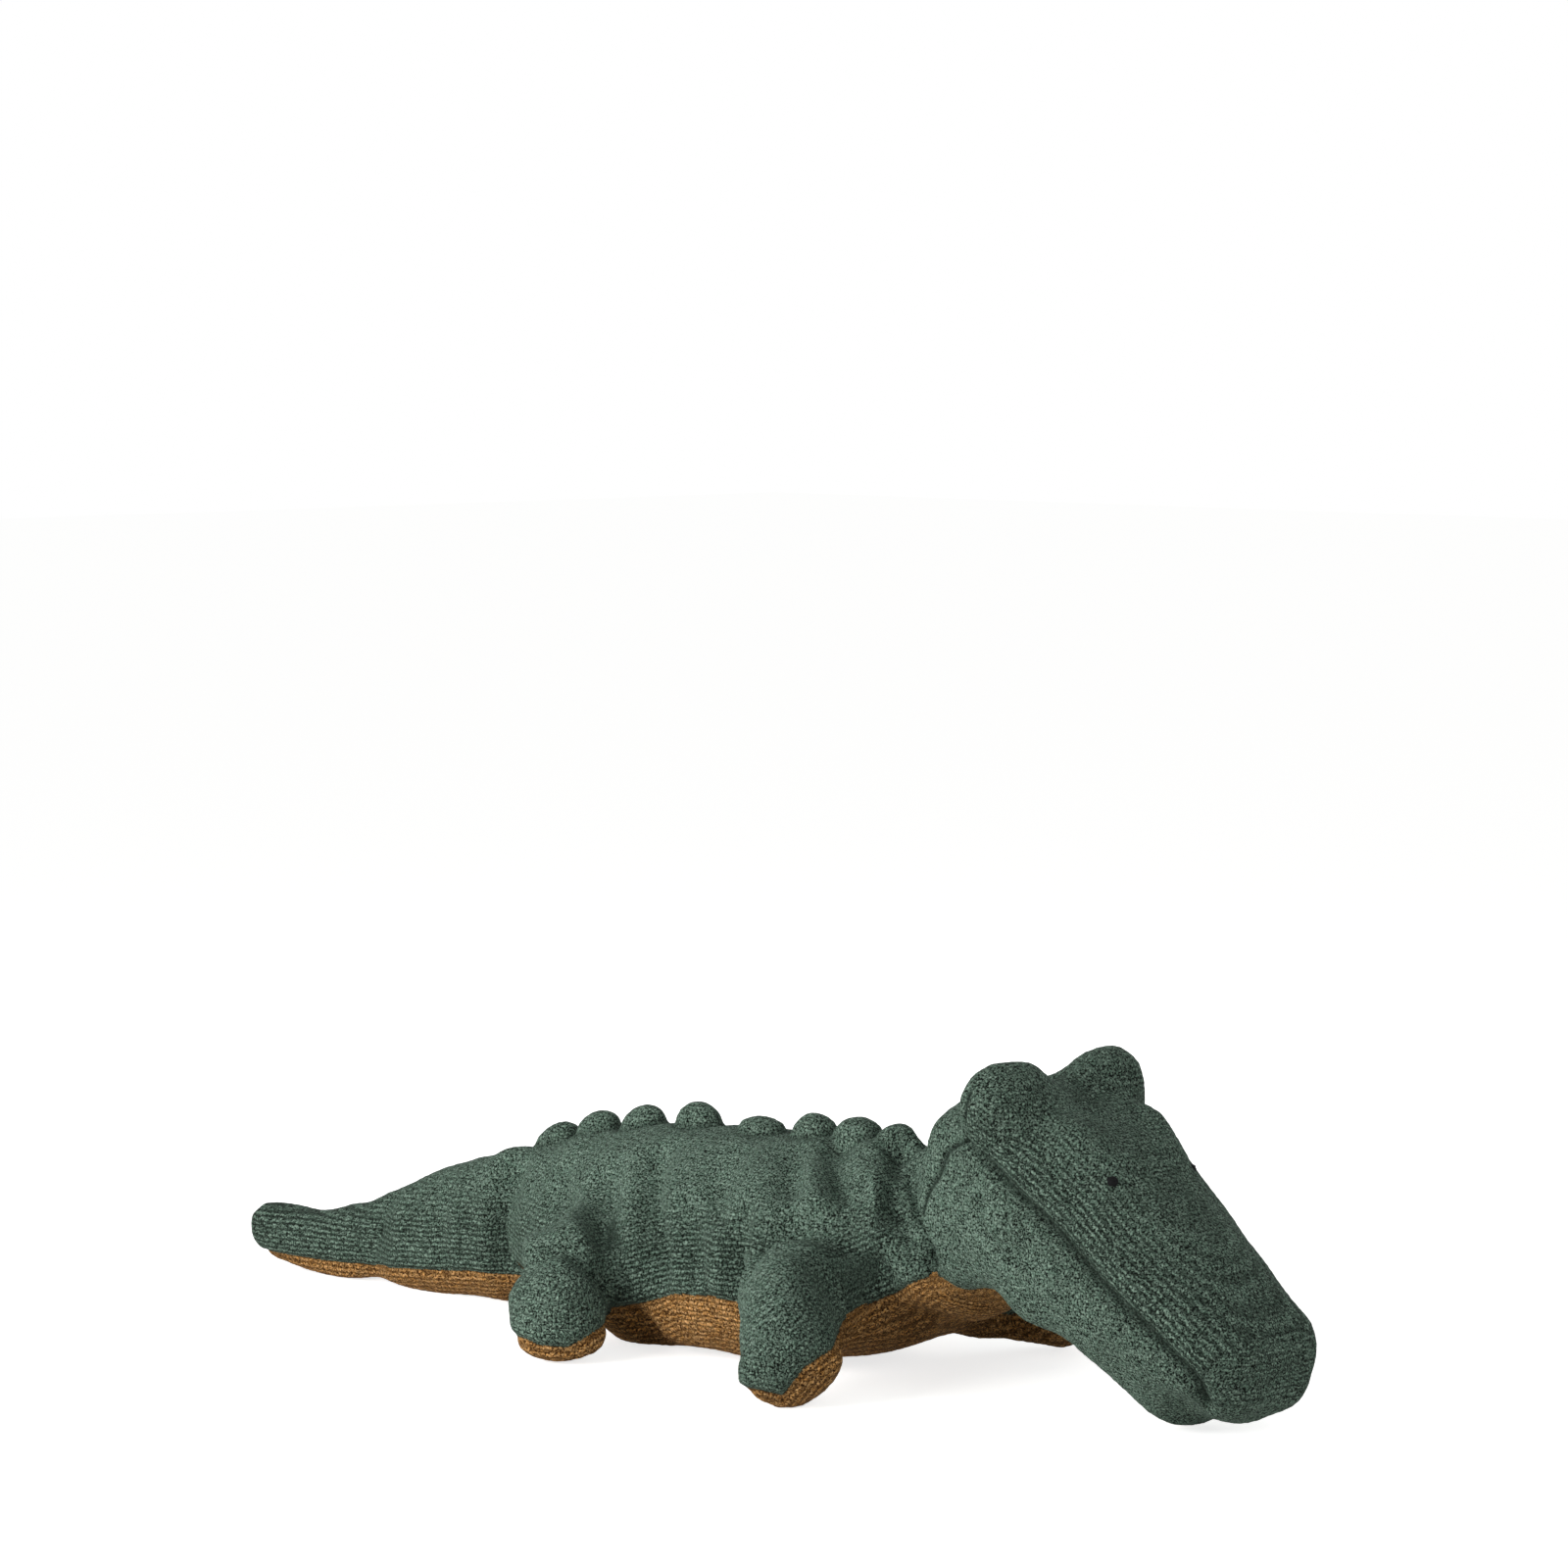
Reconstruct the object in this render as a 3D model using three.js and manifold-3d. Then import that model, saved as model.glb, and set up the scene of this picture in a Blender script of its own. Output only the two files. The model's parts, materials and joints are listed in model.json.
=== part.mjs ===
// A plush crocodile in knitted terry cloth. The back is green and the belly ochre. The long head droops
// until the snout rests on the ground, with two rounded eye ridges on its crown. Eight stuffed spikes run
// down the back to a tapering tail, and four short legs stand out from the flanks.
// Every form is a cloth skin of two or more panels round a stuffing. Limbs turn on rounded roots: a ball
// on one side of a joint sits in a hollow on the other side.
// Lengths are millimetres, angles degrees. +X runs from tail to head, +Y to the left side, +Z up.
import * as THREE from "three";
import { mergeVertices } from "three/addons/utils/BufferGeometryUtils.js";
import Module from "manifold-3d";

const wasm = await Module();
wasm.setup();

// Cloth and fit
const CLOTH = 2.4; // thickness of the terry cloth with its pile
const GAP = 0.3; // between two pieces that touch
const PRESS = 0.5; // how deep its weight presses a resting form flat
const OVERRUN = 20; // how far a cutting body runs past what it cuts
const WELD = 0.0001; // corners closer than this are one

// Trunk, from the tail joint to the neck joint
const TRUNK_LENGTH = 195;
const TRUNK_HALF_WIDTH = 47;
const TRUNK_HEIGHT = 77.5;
const COLLAR_BULGE = 4; // how far the trunk's front bulges past its last section
// along the length, half width, then bottom, widest line and top up the height, fullness above and below
const TRUNK_SHARES = [
  [0.0, 0.53, 0.04, 0.375, 0.75, 2.0, 2.0],
  [0.21, 0.8, 0.0, 0.36, 0.9, 2.1, 2.9],
  [0.48, 0.98, 0.0, 0.37, 0.95, 2.1, 2.9],
  [0.735, 1.0, 0.02, 0.42, 0.985, 2.1, 2.7],
  [0.867, 0.89, 0.1, 0.5, 0.98, 2.1, 2.3],
  [0.948, 0.665, 0.22, 0.606, 0.98, 2.0, 2.0],
];
// the seam between back and belly, along the length and up the height
const TRUNK_SEAM_SHARES = [
  [-0.4, 0.17],
  [0.05, 0.2],
  [0.24, 0.22],
  [0.48, 0.28],
  [0.67, 0.33],
  [0.86, 0.42],
  [1.05, 0.53],
  [1.6, 0.53],
];

// Neck: a ball that the trunk's collar and the head's hollow both hold
const NECK_RADIUS = 29;
const NECK_HEIGHT = 47; // centre of the ball above the ground

// Head, measured from the neck joint; its sections tip forward towards the nose
const HEAD_LENGTH = 108; // from the first section to the last
const HEAD_HALF_WIDTH = 37;
const HEAD_DEPTH = 74; // from chin to crown at the deepest section
const HEAD_AHEAD = 13; // the first section, in front of the joint
const HEAD_BACK = 8; // how far the back of the head bulges past the first section
const NOSE_BULGE = 14; // how far the nose bulges past the last section
const HEAD_PITCHES = [10, 20, 30, 34, 33];
// along, drop of the centre line, half width, rise, fall, fullness above and below
const HEAD_SHARES = [
  [0.0, 0.0, 0.86, 0.43, 0.42, 2.2, 2.3],
  [0.3, 0.045, 1.0, 0.485, 0.43, 2.3, 2.3],
  [0.62, 0.22, 0.95, 0.43, 0.37, 2.3, 2.2],
  [0.93, 0.43, 0.83, 0.33, 0.41, 2.4, 1.9],
  [1.0, 0.472, 0.79, 0.29, 0.26, 2.4, 2.0],
];
// Seams of the head panels, along the head and down from its first centre: under the top panel and round
// the nose, over the chin panel, and in front of the back panel
const TOP_SEAM_SHARES = [
  [-0.5, -0.29],
  [0.0, -0.29],
  [0.11, -0.18],
  [0.54, 0.16],
  [0.91, 0.49],
  [0.97, 0.63],
  [0.98, 1.2],
];
const CHIN_SEAM_SHARES = [
  [-0.5, 0.24],
  [0.1, 0.25],
  [0.45, 0.34],
  [0.75, 0.5],
  [0.95, 0.6],
  [1.3, 0.62],
];
const BACK_SEAM_SHARES = [
  [0.02, -0.5],
  [0.0, -0.2],
  [-0.04, 0.14],
  [-0.045, 1.2],
];

// Eye ridges and eyes: along the head's sections, and round the section from its left side
const RIDGE_RADIUS = 18.5;
const RIDGE_THICK = 25;
const RIDGE_ALONG_SHARE = 0.17;
const RIDGE_AROUND = 58;
const RIDGE_SINK = 3; // its centre, below the crown's surface
const EYE_DIAMETER = 3.8;
const EYE_SINK = 0.6; // its centre, below the surface
const EYE_ALONG_SHARE = 0.43;
const EYE_AROUND = 61;

// Spikes along the back, from the neck end of the row to the tail end
const SPIKE_WIDTH = 18;
const SPIKE_THICK = 12;
const SPIKE_HEIGHT = 7.5;
const SPIKE_ROW_START = 27; // behind the neck joint
const SPIKE_ROW_LENGTH = 169;
const SPIKE_SHARES = [0, 0.12, 0.24, 0.39, 0.575, 0.74, 0.875, 1];

// Legs; each turns on a round root that lies in a shallow recess of the flank
const LEG_ROOT_RADIUS = 17;
const LEG_REACH = 33; // outwards, from root to last section
const LEG_LEAN = 25; // sideways over the same run, towards the toe
const LEG_HALF_WIDTH = 19;
const LEG_TOE = 13; // how far the toe bulges past the last section
const LEG_LEAN_ANGLE = 50; // forward from straight down
const LEG_PITCHES = [0, 0, 26, 42, 50];
// outwards, lean, half width, rise, fall
const LEG_SHARES = [
  [0.0, 0.0, 0.895, 0.895, 0.895],
  [0.24, 0.0, 0.895, 0.895, 0.895],
  [0.56, 0.2, 0.98, 0.9, 0.98],
  [0.82, 0.58, 1.0, 0.86, 0.98],
  [1.0, 1.0, 0.9, 0.78, 0.88],
];
const LEG_SEAM_SHARE = 0.2; // the sole's edge, below the leg's middle, by its half width
const FRONT_LEG_SET = 36; // shoulder behind the neck joint
const FRONT_LEG_APART = 80; // between the two roots
const FRONT_LEG_SPLAY = 12; // its root faces this much forward of sideways
const REAR_LEG_SET = 134;
const REAR_LEG_APART = 71;
const REAR_LEG_SPLAY = -10;

// Tail, measured from its root joint
const TAIL_ROOT_RADIUS = 26;
const TAIL_ROOT_HEIGHT = 29;
const TAIL_TURN = 10; // towards the right side
const TAIL_BASE_LENGTH = 78; // to the bend joint
const TAIL_HALF_WIDTH = 27;
const TAIL_HEIGHT = 58;
const TAIL_BEND_RADIUS = 15;
const TAIL_TIP_START = 8; // past the bend joint
const TAIL_TIP_LENGTH = 44; // to the last section
const TAIL_END_BULGE = 12;
// along, half width, then bottom, widest line and top up the height
const TAIL_BASE_SHARES = [
  [0.167, 0.96, 0.0, 0.44, 0.98],
  [0.34, 0.9, 0.0, 0.4, 0.91],
  [0.66, 0.75, 0.0, 0.34, 0.75],
  [1.0, 0.5556, 0.0172, 0.2759, 0.5345],
];
const TAIL_TIP_SHARES = [
  [0.0, 0.54, 0.0, 0.26, 0.49],
  [0.5, 0.48, 0.0, 0.22, 0.4],
  [1.0, 0.4, 0.03, 0.22, 0.4],
];
const TAIL_SEAM_SHARES = [
  [-0.5, 0.24],
  [0.3, 0.21],
  [1.0, 0.12],
  [2.5, 0.08],
];

// Flat sides round each form
const TRUNK_SIDES = 20;
const INNER_SIDES = 12; // of the rooms inside the cloth and what fills them
const HEAD_SIDES = 20;
const TAIL_SIDES = 14;
const LEG_SIDES = 12;
const SPIKE_SIDES = 10;
const EYE_SIDES = 8;

const GREEN = 0x50695b;
const LIGHT_GREEN = 0x5e7264;
const OCHRE = 0x9a6c3c;
const STUFFING = 0xf2efe8;
const BLACK = 0x121212;

const radians = THREE.MathUtils.degToRad;
const ORIGIN = new THREE.Vector3();
const CAP_ANGLES = [30, 60].map(radians); // rings of a rounded end

// Solids from closed geometries, and back again
function solidOf(geometry) {
  const bare = geometry.clone();
  for (const name of Object.keys(bare.attributes)) {
    if (name !== "position") bare.deleteAttribute(name);
  }
  const merged = mergeVertices(bare, WELD);
  return new wasm.Manifold(
    new wasm.Mesh({
      numProp: 3,
      vertProperties: merged.attributes.position.array,
      triVerts: new Uint32Array(merged.index.array),
    }),
  );
}

function geometryOf(solid) {
  const mesh = solid.getMesh();
  const geometry = new THREE.BufferGeometry();
  geometry.setAttribute("position", new THREE.BufferAttribute(mesh.vertProperties, 3));
  geometry.setIndex(new THREE.BufferAttribute(mesh.triVerts, 1));
  geometry.computeVertexNormals();
  return geometry;
}

// The same solid, carried by a matrix
function carried(solid, matrix) {
  const geometry = geometryOf(solid);
  geometry.applyMatrix4(matrix);
  return solidOf(geometry);
}

function ball(radius, centre, sides, bands = sides / 2, turn = 0) {
  const geometry = new THREE.SphereGeometry(radius, sides, bands);
  geometry.rotateX(Math.PI / 2);
  geometry.rotateZ(turn);
  geometry.translate(centre.x, centre.y, centre.z);
  return solidOf(geometry);
}

// The hollow for a ball. Its flat faces stay clear of the ball as it turns, and face its corners at rest.
function hollow(radius, centre, sides) {
  const half = Math.PI / sides;
  return ball((radius + GAP) / Math.cos(half) ** 2, centre, sides, sides / 2 + 1, half);
}

// A closed form of rings between two poles; each ring has a centre, a pitch and superellipse halves.
function loft(rings, rearPole, frontPole, sides) {
  const points = [];
  const faces = [];
  for (const ring of rings) {
    const rise = new THREE.Vector3(Math.sin(ring.pitch), 0, Math.cos(ring.pitch));
    for (let j = 0; j < sides; j += 1) {
      const angle = (2 * Math.PI * j) / sides;
      const up = Math.sin(angle);
      const power = 2 / (up > 0 ? ring.upper : ring.lower);
      const shaped = (value) => Math.sign(value) * Math.abs(value) ** power;
      const point = ring.centre.clone();
      point.y += ring.half * shaped(Math.cos(angle));
      point.addScaledVector(rise, (up > 0 ? ring.rise : ring.fall) * shaped(up));
      points.push(...point);
    }
  }
  points.push(...rearPole, ...frontPole);
  const last = (rings.length - 1) * sides;
  const rear = rings.length * sides;
  for (let j = 0; j < sides; j += 1) {
    const next = (j + 1) % sides;
    for (let i = 0; i + 1 < rings.length; i += 1) {
      const a = i * sides + j;
      const b = i * sides + next;
      faces.push(a, b, b + sides, a, b + sides, a + sides);
    }
    faces.push(rear, next, j, rear + 1, last + j, last + next);
  }
  const geometry = new THREE.BufferGeometry();
  geometry.setAttribute("position", new THREE.Float32BufferAttribute(points, 3));
  geometry.setIndex(faces);
  return solidOf(geometry);
}

function curveThrough(values) {
  const points = values.map((value) => new THREE.Vector3(value, 0, 0));
  return new THREE.CatmullRomCurve3(points, false, "catmullrom", 0.5);
}

// The section at a share of a form's key sections
function sectionAt(form, share) {
  const value = {};
  for (const field of Object.keys(form.keys[0])) {
    value[field] = curveThrough(form.keys.map((key) => key[field])).getPoint(share).x;
  }
  return value;
}

// A stuffed form through its key sections; inset draws every face inwards. A round rear bulges past the
// first section, and an open one is flat there and runs back by an extra length.
function stuffed(form, inset = 0, back = 0) {
  const { rearBulge, frontBulge, steps } = form;
  const sides = inset > 0 ? Math.min(form.sides, INNER_SIDES) : form.sides;
  const ringAt = (share) => {
    const value = sectionAt(form, share);
    const ring = { ...value, centre: new THREE.Vector3(value.x, 0, value.z) };
    for (const side of ["half", "rise", "fall"]) ring[side] -= inset;
    return ring;
  };
  const ahead = (ring, reach) => {
    const heading = new THREE.Vector3(Math.cos(ring.pitch), 0, -Math.sin(ring.pitch));
    return ring.centre.clone().addScaledVector(heading, reach);
  };
  const cap = (ring, reach) =>
    CAP_ANGLES.map((angle) => {
      const shrunk = { ...ring, centre: ahead(ring, reach * Math.cos(angle)) };
      for (const side of ["half", "rise", "fall"]) shrunk[side] = ring[side] * Math.sin(angle);
      return shrunk;
    });
  const rings = [];
  for (let k = 0; k <= steps; k += 1) rings.push(ringAt(k / steps));
  const first = rings[0];
  const last = rings[steps];
  let rearPole = ahead(first, -back);
  if (rearBulge > 0) {
    rearPole = ahead(first, inset - rearBulge);
    rings.unshift(...cap(first, inset - rearBulge));
  } else if (back > 0) {
    rings.unshift({ ...first, centre: rearPole });
  }
  rings.push(...cap(last, frontBulge - inset).reverse());
  return loft(rings, rearPole, ahead(last, frontBulge - inset), sides);
}

// Everything below a level, for flat resting faces
const SPREAD = 3 * TRUNK_LENGTH;
function below(level) {
  const geometry = new THREE.BoxGeometry(2 * SPREAD, 2 * SPREAD, OVERRUN);
  geometry.translate(0, 0, level - OVERRUN / 2);
  return solidOf(geometry);
}

// Everything across the part inside an outline drawn in X and Z
function prism(points) {
  const geometry = new THREE.ExtrudeGeometry(new THREE.Shape(points), {
    depth: 2 * SPREAD,
    bevelEnabled: false,
  });
  geometry.translate(0, 0, -SPREAD);
  geometry.rotateX(Math.PI / 2);
  return solidOf(geometry);
}

// Everything under a line that runs towards +X, which is first moved by a length ahead and a length up
function under(line, up, ahead = 0) {
  const moved = line.map(({ x, y }) => new THREE.Vector2(x + ahead, y + up));
  const first = new THREE.Vector2(moved[0].x, -SPREAD);
  const last = new THREE.Vector2(moved[moved.length - 1].x, -SPREAD);
  return prism([first, ...moved, last]);
}

function smooth(points, count) {
  return new THREE.SplineCurve(points).getPoints(count);
}

function piece(group, name, solid, color, roughness = 0.95) {
  const material = new THREE.MeshStandardMaterial({ color, roughness, metalness: 0 });
  const mesh = new THREE.Mesh(geometryOf(solid), material);
  mesh.name = name;
  group.add(mesh);
}

// A form as three solids: the whole, the room inside its cloth, and the stuffing that fills the room
function layers(form, frame, extra = null) {
  const toFrame = frame.clone().invert();
  const make = (inset, back = 0) => {
    let solid = stuffed(form, inset, back);
    if (extra) solid = solid.add(extra(inset));
    return solid.subtract(carried(below(inset), toFrame));
  };
  const whole = make(0);
  const room = make(CLOTH, OVERRUN);
  return { skin: whole.subtract(room), filling: make(CLOTH + GAP) };
}

// How far the lowest point of a form lies below the ground of a frame
function reachBelow(form, frame) {
  const geometry = geometryOf(stuffed(form));
  geometry.applyMatrix4(frame);
  geometry.computeBoundingBox();
  return -geometry.boundingBox.min.z;
}

const root = new THREE.Group();
const world = new THREE.Matrix4();
const tailJoint = new THREE.Vector3(-TRUNK_LENGTH, 0, TAIL_ROOT_HEIGHT);
const neckJoint = new THREE.Vector3(0, 0, NECK_HEIGHT);

// Leg frames: outwards is local +x, and local -z leans from the root towards the toe.
const legForm = {
  keys: LEG_SHARES.map(([out, leant, half, rise, fall], i) => ({
    x: GAP + out * LEG_REACH,
    z: -leant * LEG_LEAN,
    pitch: radians(LEG_PITCHES[i]),
    half: half * LEG_HALF_WIDTH,
    rise: rise * LEG_HALF_WIDTH,
    fall: fall * LEG_HALF_WIDTH,
    upper: 2,
    lower: 2,
  })),
  rearBulge: 0,
  frontBulge: LEG_TOE,
  steps: LEG_SHARES.length - 1,
  sides: LEG_SIDES,
};
function legFrame(side, splay) {
  const lean = radians(LEG_LEAN_ANGLE);
  const turn = radians(splay);
  const outwards = new THREE.Vector3(Math.sin(turn), side * Math.cos(turn), 0);
  const forwards = new THREE.Vector3(Math.cos(turn), -side * Math.sin(turn), 0);
  const away = forwards.multiplyScalar(-Math.sin(lean)).add(new THREE.Vector3(0, 0, Math.cos(lean)));
  const across = new THREE.Vector3().crossVectors(away, outwards);
  return new THREE.Matrix4().makeBasis(outwards, across, away);
}
const legPlaces = [];
for (const [name, set, apart, splay] of [
  ["front", FRONT_LEG_SET, FRONT_LEG_APART, FRONT_LEG_SPLAY],
  ["rear", REAR_LEG_SET, REAR_LEG_APART, REAR_LEG_SPLAY],
]) {
  for (const [sideName, side] of [["left", 1], ["right", -1]]) {
    const frame = legFrame(side, splay);
    const height = reachBelow(legForm, frame) - PRESS;
    frame.setPosition(-set, (side * apart) / 2, height);
    legPlaces.push({ name: name + "_" + sideName, frame });
  }
}

// Trunk
const trunkForm = {
  keys: TRUNK_SHARES.map(([along, half, bottom, widest, top, upper, lower]) => ({
    x: (along - 1) * TRUNK_LENGTH,
    z: widest * TRUNK_HEIGHT,
    pitch: 0,
    half: half * TRUNK_HALF_WIDTH,
    rise: (top - widest) * TRUNK_HEIGHT,
    fall: (widest - bottom) * TRUNK_HEIGHT + (bottom > 0 ? 0 : PRESS),
    upper,
    lower,
  })),
  rearBulge: TAIL_ROOT_RADIUS / 2,
  frontBulge: COLLAR_BULGE,
  steps: 9,
  sides: TRUNK_SIDES,
};
const tailRoot = (inset) => ball(TAIL_ROOT_RADIUS - inset, tailJoint, TRUNK_SIDES);
const trunk = layers(trunkForm, world, tailRoot);
let sockets = hollow(NECK_RADIUS, neckJoint, TRUNK_SIDES);
const recessRadius = (LEG_ROOT_RADIUS + GAP) / Math.cos(Math.PI / LEG_SIDES);
for (const { frame } of legPlaces) {
  const recess = new THREE.CylinderGeometry(recessRadius, recessRadius, TRUNK_HALF_WIDTH, LEG_SIDES);
  recess.rotateZ(-Math.PI / 2);
  recess.translate(TRUNK_HALF_WIDTH / 2, 0, 0);
  recess.applyMatrix4(frame);
  sockets = sockets.add(solidOf(recess));
}
const trunkSkin = trunk.skin.subtract(sockets);
const trunkSeam = smooth(
  TRUNK_SEAM_SHARES.map(
    ([along, up]) => new THREE.Vector2((along - 1) * TRUNK_LENGTH, up * TRUNK_HEIGHT),
  ),
  16,
);
piece(root, "trunk_back", trunkSkin.subtract(under(trunkSeam, GAP / 2)), GREEN);
piece(root, "trunk_belly", trunkSkin.intersect(under(trunkSeam, -GAP / 2)), OCHRE);
piece(root, "trunk_stuffing", trunk.filling.subtract(sockets), STUFFING);

// Spikes, seated on the ridge of the back
const backClear = stuffed(trunkForm, -GAP).add(tailRoot(-GAP));
const trunkShares = TRUNK_SHARES.map(([along]) => along);
function backHeightAt(x) {
  const along = x / TRUNK_LENGTH + 1;
  let i = 0;
  while (i + 2 < trunkShares.length && along > trunkShares[i + 1]) i += 1;
  const within = (along - trunkShares[i]) / (trunkShares[i + 1] - trunkShares[i]);
  const share = THREE.MathUtils.clamp((i + within) / (trunkShares.length - 1), 0, 1);
  const { z, rise } = sectionAt(trunkForm, share);
  return z + rise;
}
const spike = new THREE.SphereGeometry(1, SPIKE_SIDES, SPIKE_SIDES - 2);
spike.rotateX(Math.PI / 2);
spike.scale(SPIKE_WIDTH / 2, SPIKE_THICK / 2, SPIKE_HEIGHT);
for (const [i, along] of SPIKE_SHARES.entries()) {
  const x = -SPIKE_ROW_START - along * SPIKE_ROW_LENGTH;
  const dome = spike.clone().translate(x, 0, backHeightAt(x));
  piece(root, "spike_" + (i + 1), solidOf(dome).subtract(backClear), GREEN);
}

// Neck
const neckBall = (inset) => ball(NECK_RADIUS - inset, neckJoint, TRUNK_SIDES);
const neckSkin = neckBall(0).subtract(neckBall(CLOTH));
piece(root, "neck_back", neckSkin.subtract(under(trunkSeam, GAP / 2)), LIGHT_GREEN);
piece(root, "neck_belly", neckSkin.intersect(under(trunkSeam, -GAP / 2)), OCHRE);
piece(root, "neck_stuffing", neckBall(CLOTH + GAP), STUFFING);

// Head
const head = new THREE.Group();
head.position.copy(neckJoint);
head.updateMatrix();
root.add(head);
const headFormAt = (lift) => ({
  keys: HEAD_SHARES.map(([along, drop, half, rise, fall, upper, lower], i) => ({
    x: HEAD_AHEAD + along * HEAD_LENGTH,
    z: lift - drop * HEAD_LENGTH,
    pitch: radians(HEAD_PITCHES[i]),
    half: half * HEAD_HALF_WIDTH,
    rise: rise * HEAD_DEPTH,
    fall: fall * HEAD_DEPTH,
    upper,
    lower,
  })),
  rearBulge: HEAD_BACK,
  frontBulge: NOSE_BULGE,
  steps: 8,
  sides: HEAD_SIDES,
});
const headLift = reachBelow(headFormAt(0), head.matrix) - PRESS; // sets the snout on the ground
const headForm = headFormAt(headLift);
const headLayers = layers(headForm, head.matrix);
const headHollow = hollow(NECK_RADIUS, ORIGIN, TRUNK_SIDES);
const headSkin = headLayers.skin.subtract(headHollow);
const headLine = (shares) =>
  shares.map(
    ([along, drop]) => new THREE.Vector2(HEAD_AHEAD + along * HEAD_LENGTH, headLift - drop * HEAD_LENGTH),
  );
const seamHalf = GAP / 2;
const topSeam = headLine(TOP_SEAM_SHARES);
const chinSeam = headLine(CHIN_SEAM_SHARES);
const backSeam = headLine(BACK_SEAM_SHARES);
const behind = (shift) => {
  const moved = backSeam.map(({ x, y }) => new THREE.Vector2(x + shift, y));
  const far = (point) => new THREE.Vector2(-SPREAD, point.y);
  return prism([...moved, far(moved[moved.length - 1]), far(moved[0])]);
};
piece(head, "head_top_panel", headSkin.subtract(under(topSeam, seamHalf, seamHalf)), GREEN);
const lowerSkin = headSkin.intersect(under(topSeam, -seamHalf, -seamHalf));
piece(head, "chin_panel", lowerSkin.intersect(under(chinSeam, -seamHalf)), OCHRE);
const middleSkin = lowerSkin.subtract(under(chinSeam, seamHalf));
piece(head, "head_back_panel", middleSkin.intersect(behind(-seamHalf)), LIGHT_GREEN);
const cheeks = middleSkin.subtract(behind(seamHalf));
piece(head, "head_stuffing", headLayers.filling.subtract(headHollow), STUFFING);

const headClear = stuffed(headForm, -GAP);
// The place on the head's surface at a share of its sections and an angle round the section
function onHead(share, around, sink) {
  const { x, z, pitch, half, rise, upper } = sectionAt(headForm, share);
  const shaped = (value) => Math.sign(value) * Math.abs(value) ** (2 / upper);
  const point = new THREE.Vector3(x, half * shaped(Math.cos(around)), z);
  const up = new THREE.Vector3(Math.sin(pitch), 0, Math.cos(pitch));
  return point.addScaledVector(up, rise * shaped(Math.sin(around)) - sink);
}
for (const [sideName, side] of [["left", 1], ["right", -1]]) {
  const wing = new THREE.BoxGeometry(2 * SPREAD, SPREAD, 2 * SPREAD);
  wing.translate(0, (side * SPREAD) / 2, 0);
  piece(head, "head_side_" + sideName, cheeks.intersect(solidOf(wing)), GREEN);
  const ridgeAround = side > 0 ? radians(RIDGE_AROUND) : Math.PI - radians(RIDGE_AROUND);
  const lobe = new THREE.SphereGeometry(RIDGE_RADIUS, 16, 10);
  lobe.scale(RIDGE_THICK / (2 * RIDGE_RADIUS), 1, 1);
  lobe.translate(...onHead(RIDGE_ALONG_SHARE, ridgeAround, RIDGE_SINK));
  piece(head, "eye_ridge_" + sideName, solidOf(lobe).subtract(headClear), GREEN);
  const eyeAround = side > 0 ? radians(EYE_AROUND) : Math.PI - radians(EYE_AROUND);
  const eye = ball(EYE_DIAMETER / 2, onHead(EYE_ALONG_SHARE, eyeAround, EYE_SINK), EYE_SIDES);
  piece(head, "eye_" + sideName, eye.subtract(headClear), BLACK, 0.7);
}

// Legs
for (const { name, frame } of legPlaces) {
  const leg = new THREE.Group();
  frame.decompose(leg.position, leg.quaternion, leg.scale);
  leg.updateMatrix();
  root.add(leg);
  const { skin, filling } = layers(legForm, leg.matrix);
  const middle = legForm.keys.map(({ x, z }) => new THREE.Vector2(x, z - LEG_SEAM_SHARE * LEG_HALF_WIDTH));
  const end = middle[middle.length - 1];
  middle.unshift(new THREE.Vector2(-OVERRUN, middle[0].y));
  middle.push(new THREE.Vector2(end.x + LEG_REACH, end.y - LEG_REACH));
  piece(leg, "leg_" + name + "_upper", skin.subtract(under(middle, seamHalf)), GREEN);
  piece(leg, "leg_" + name + "_sole", skin.intersect(under(middle, -seamHalf)), OCHRE);
  piece(leg, "leg_" + name + "_stuffing", filling, STUFFING);
}

// Tail
const tail = new THREE.Group();
tail.position.copy(tailJoint);
tail.rotation.z = Math.PI + radians(TAIL_TURN);
tail.updateMatrix();
root.add(tail);
const tailForm = (shares, start, length, frontBulge, steps) => ({
  keys: shares.map(([along, half, bottom, widest, top]) => ({
    x: start + along * length,
    z: widest * TAIL_HEIGHT - TAIL_ROOT_HEIGHT,
    pitch: 0,
    half: half * TAIL_HALF_WIDTH,
    rise: (top - widest) * TAIL_HEIGHT,
    fall: (widest - bottom) * TAIL_HEIGHT + (bottom > 0 ? 0 : PRESS),
    upper: 2,
    lower: bottom > 0 ? 2 : 2.3,
  })),
  rearBulge: 0,
  frontBulge,
  steps,
  sides: TAIL_SIDES,
});
const baseForm = tailForm(TAIL_BASE_SHARES, 0, TAIL_BASE_LENGTH, TAIL_BEND_RADIUS, 6);
const tipStart = TAIL_BASE_LENGTH + TAIL_TIP_START;
const tipForm = tailForm(TAIL_TIP_SHARES, tipStart, TAIL_TIP_LENGTH, TAIL_END_BULGE, 4);
const bendPlace = baseForm.keys[baseForm.keys.length - 1];
const bendJoint = new THREE.Vector3(bendPlace.x, 0, bendPlace.z);
const tailSeam = TAIL_SEAM_SHARES.map(
  ([along, up]) => new THREE.Vector2(along * TAIL_BASE_LENGTH, up * TAIL_HEIGHT - TAIL_ROOT_HEIGHT),
);
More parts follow.
